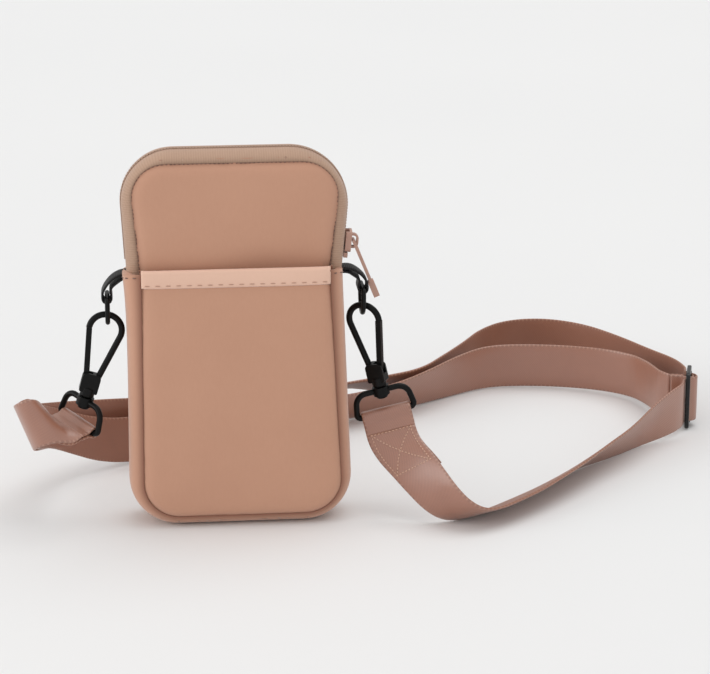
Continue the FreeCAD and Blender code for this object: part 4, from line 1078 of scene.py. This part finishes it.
def hem_line(height, lift):
    """A line across the hem at a height, just proud of its face."""
    x = np.linspace(-44.8, 41.0, 60)
    z = np.full(60, height)
    spots = np.stack([x, -(pocket_face(x, z) + lift), z], axis=1) * MM
    return spots, np.broadcast_to(np.array([0.0, -1.0, 0.0]), spots.shape)


add_row("hem_stitches", stitch_row, [hem_line(125.1, 1.0)], HEM_STITCH, pink_thread)
seam_line = path_line(top_points, top_out, top_swell, out=0.55, depth=-10.75)
add_row("panel_stitches", stitch_row, [seam_line], PANEL_STITCH, dark_thread)


def end_lines():
    """Short lines across both top ends of the lower gusset, just under its edge."""
    found = []
    front_half = slice(3, 14)
    section = low_section[front_half]
    for k in (1, -2):
        outward = base_out[k]
        flat = base_points[k] + outward * (section[:, :1] * base_swell[k] + 0.12)
        lifted = flat[:, 1] + low_rise[k, front_half]
        spots = np.stack([flat[:, 0], section[:, 1] - 0.1, lifted], axis=1) * MM
        aims = np.broadcast_to(np.array([outward[0] * 0.6, -0.8, 0.0]), spots.shape)
        found.append((spots, aims))
    return found


add_row("gusset_end_stitches", stitch_row, end_lines(), END_STITCH, dark_thread)


def band_line(band, start, end, lift=0.00075):
    """A straight line of sewing on a band, between two places given as length and offset across."""
    places = np.linspace(start, end, 14)
    spots = np.array([band.spot(a, b, lift) for a, b in places])
    raised = np.array([band.spot(a, b, lift + 0.001) for a, b in places])
    return spots, raised - spots


near, far, side = 0.0004, 0.0225, 0.0100
box = [(near, -side), (near, side), (far, side), (far, -side)]
sewn_box = [band_line(long_band, box[k], box[(k + 1) % 4]) for k in range(4)]
sewn_box += [band_line(long_band, box[0], box[2]), band_line(long_band, box[1], box[3])]
add_row("strap_box_stitches", stitch_row, sewn_box, BOX_STITCH, satin_thread)

# %% [markdown]
# ## Hard fittings
#
# Rings, hooks, gates, pins and eyes are black enamelled metal, the adjuster is glossy moulded plastic,
# and the zip's slider and pull are enamelled to match the strap. Their shapes are already right, so
# they only get finishes.

# %% Fitting finishes
ENAMEL_TONES = ((0.003, 0.003, 0.003), (0.008, 0.008, 0.008))
MOULDED_TONES = ((0.006, 0.006, 0.007), (0.014, 0.014, 0.015))
ROSE_TONES = ((0.44, 0.245, 0.185), (0.52, 0.305, 0.235))
ROSE_GLOSS = {"Specular_IOR_Level": 0.5, "Coat_Weight": 0.25, "Coat_Roughness": 0.25}
black_enamel = two_tone("black_enamel", (180.0, 3.0), ENAMEL_TONES, 0.25, 0.2, Specular_IOR_Level=0.14)
black_enamel.relief(black_enamel.speckle(900.0, 1.0), 0.05, 0.0002)
moulded_black = two_tone("moulded_black", (120.0, 2.0), MOULDED_TONES, 0.16, 0.12, Specular_IOR_Level=0.35)
rose_enamel = two_tone("rose_enamel", (220.0, 2.0), ROSE_TONES, 0.32, 0.15, **ROSE_GLOSS)


def coat(nodes, finish):
    """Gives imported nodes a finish."""
    for node in nodes:
        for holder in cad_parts[node].material_slots:
            holder.material = finish.material
    print(finish.material.name, "on", len(nodes))


HOOK_PARTS = ("d_ring", "hook", "hook_gate", "gate_pin", "swivel_eye")
coat([f"{side}_{part}" for side in ("left", "right") for part in HOOK_PARTS], black_enamel)
coat(["strap_adjuster"], moulded_black)
coat(["zip_slider", "zip_pull", "zip_stops"], rose_enamel)

# %% [markdown]
# ## Floor and light
#
# The pouch stands on a plain pale floor under three soft lights: one overhead, a little behind and to
# the right, a very wide one from the front left, and a narrower one from the left that brightens the
# gusset's side. An even pale surround fills the rest. The floor is pale by its own colour and keeps the
# soft shadow.

# %% Floor, light and surround
bpy.ops.mesh.primitive_plane_add(size=12.0, location=(0, 2.0, -0.0002))
floor = bpy.context.object
floor.name = "floor"
paper = Finish("paper", Roughness=0.9, Specular_IOR_Level=0.1)
paper.use("Base Color", paper.mix(paper.speckle(3.0, 1.0), (0.795, 0.797, 0.8), (0.815, 0.816, 0.817)))
floor.data.materials.append(paper.material)


def add_sun(name, aim, spread, power):
    """A broad, even light from a direction, softer the wider its spread in degrees."""
    data = bpy.data.lights.new(name, "SUN")
    data.angle = math.radians(spread)
    data.energy = power
    sun = bpy.data.objects.new(name, data)
    sun.rotation_euler = Vector(aim).to_track_quat("Z", "Y").to_euler()
    bpy.context.scene.collection.objects.link(sun)


add_sun("overhead", (0.30, 0.16, 1.0), spread=50.0, power=0.96)
add_sun("window", (-0.7, -0.80, 0.50), spread=150.0, power=0.80)
add_sun("side", (-1.0, -0.10, 0.25), spread=40.0, power=0.80)
world = bpy.data.worlds.new("surround")
bpy.context.scene.world = world
world.use_nodes = True
background = next(n for n in world.node_tree.nodes if n.type == "BACKGROUND")
background.inputs["Color"].default_value = (0.96, 0.955, 0.945, 1.0)
background.inputs["Strength"].default_value = 0.61
bpy.context.scene.view_settings.view_transform = "Standard"
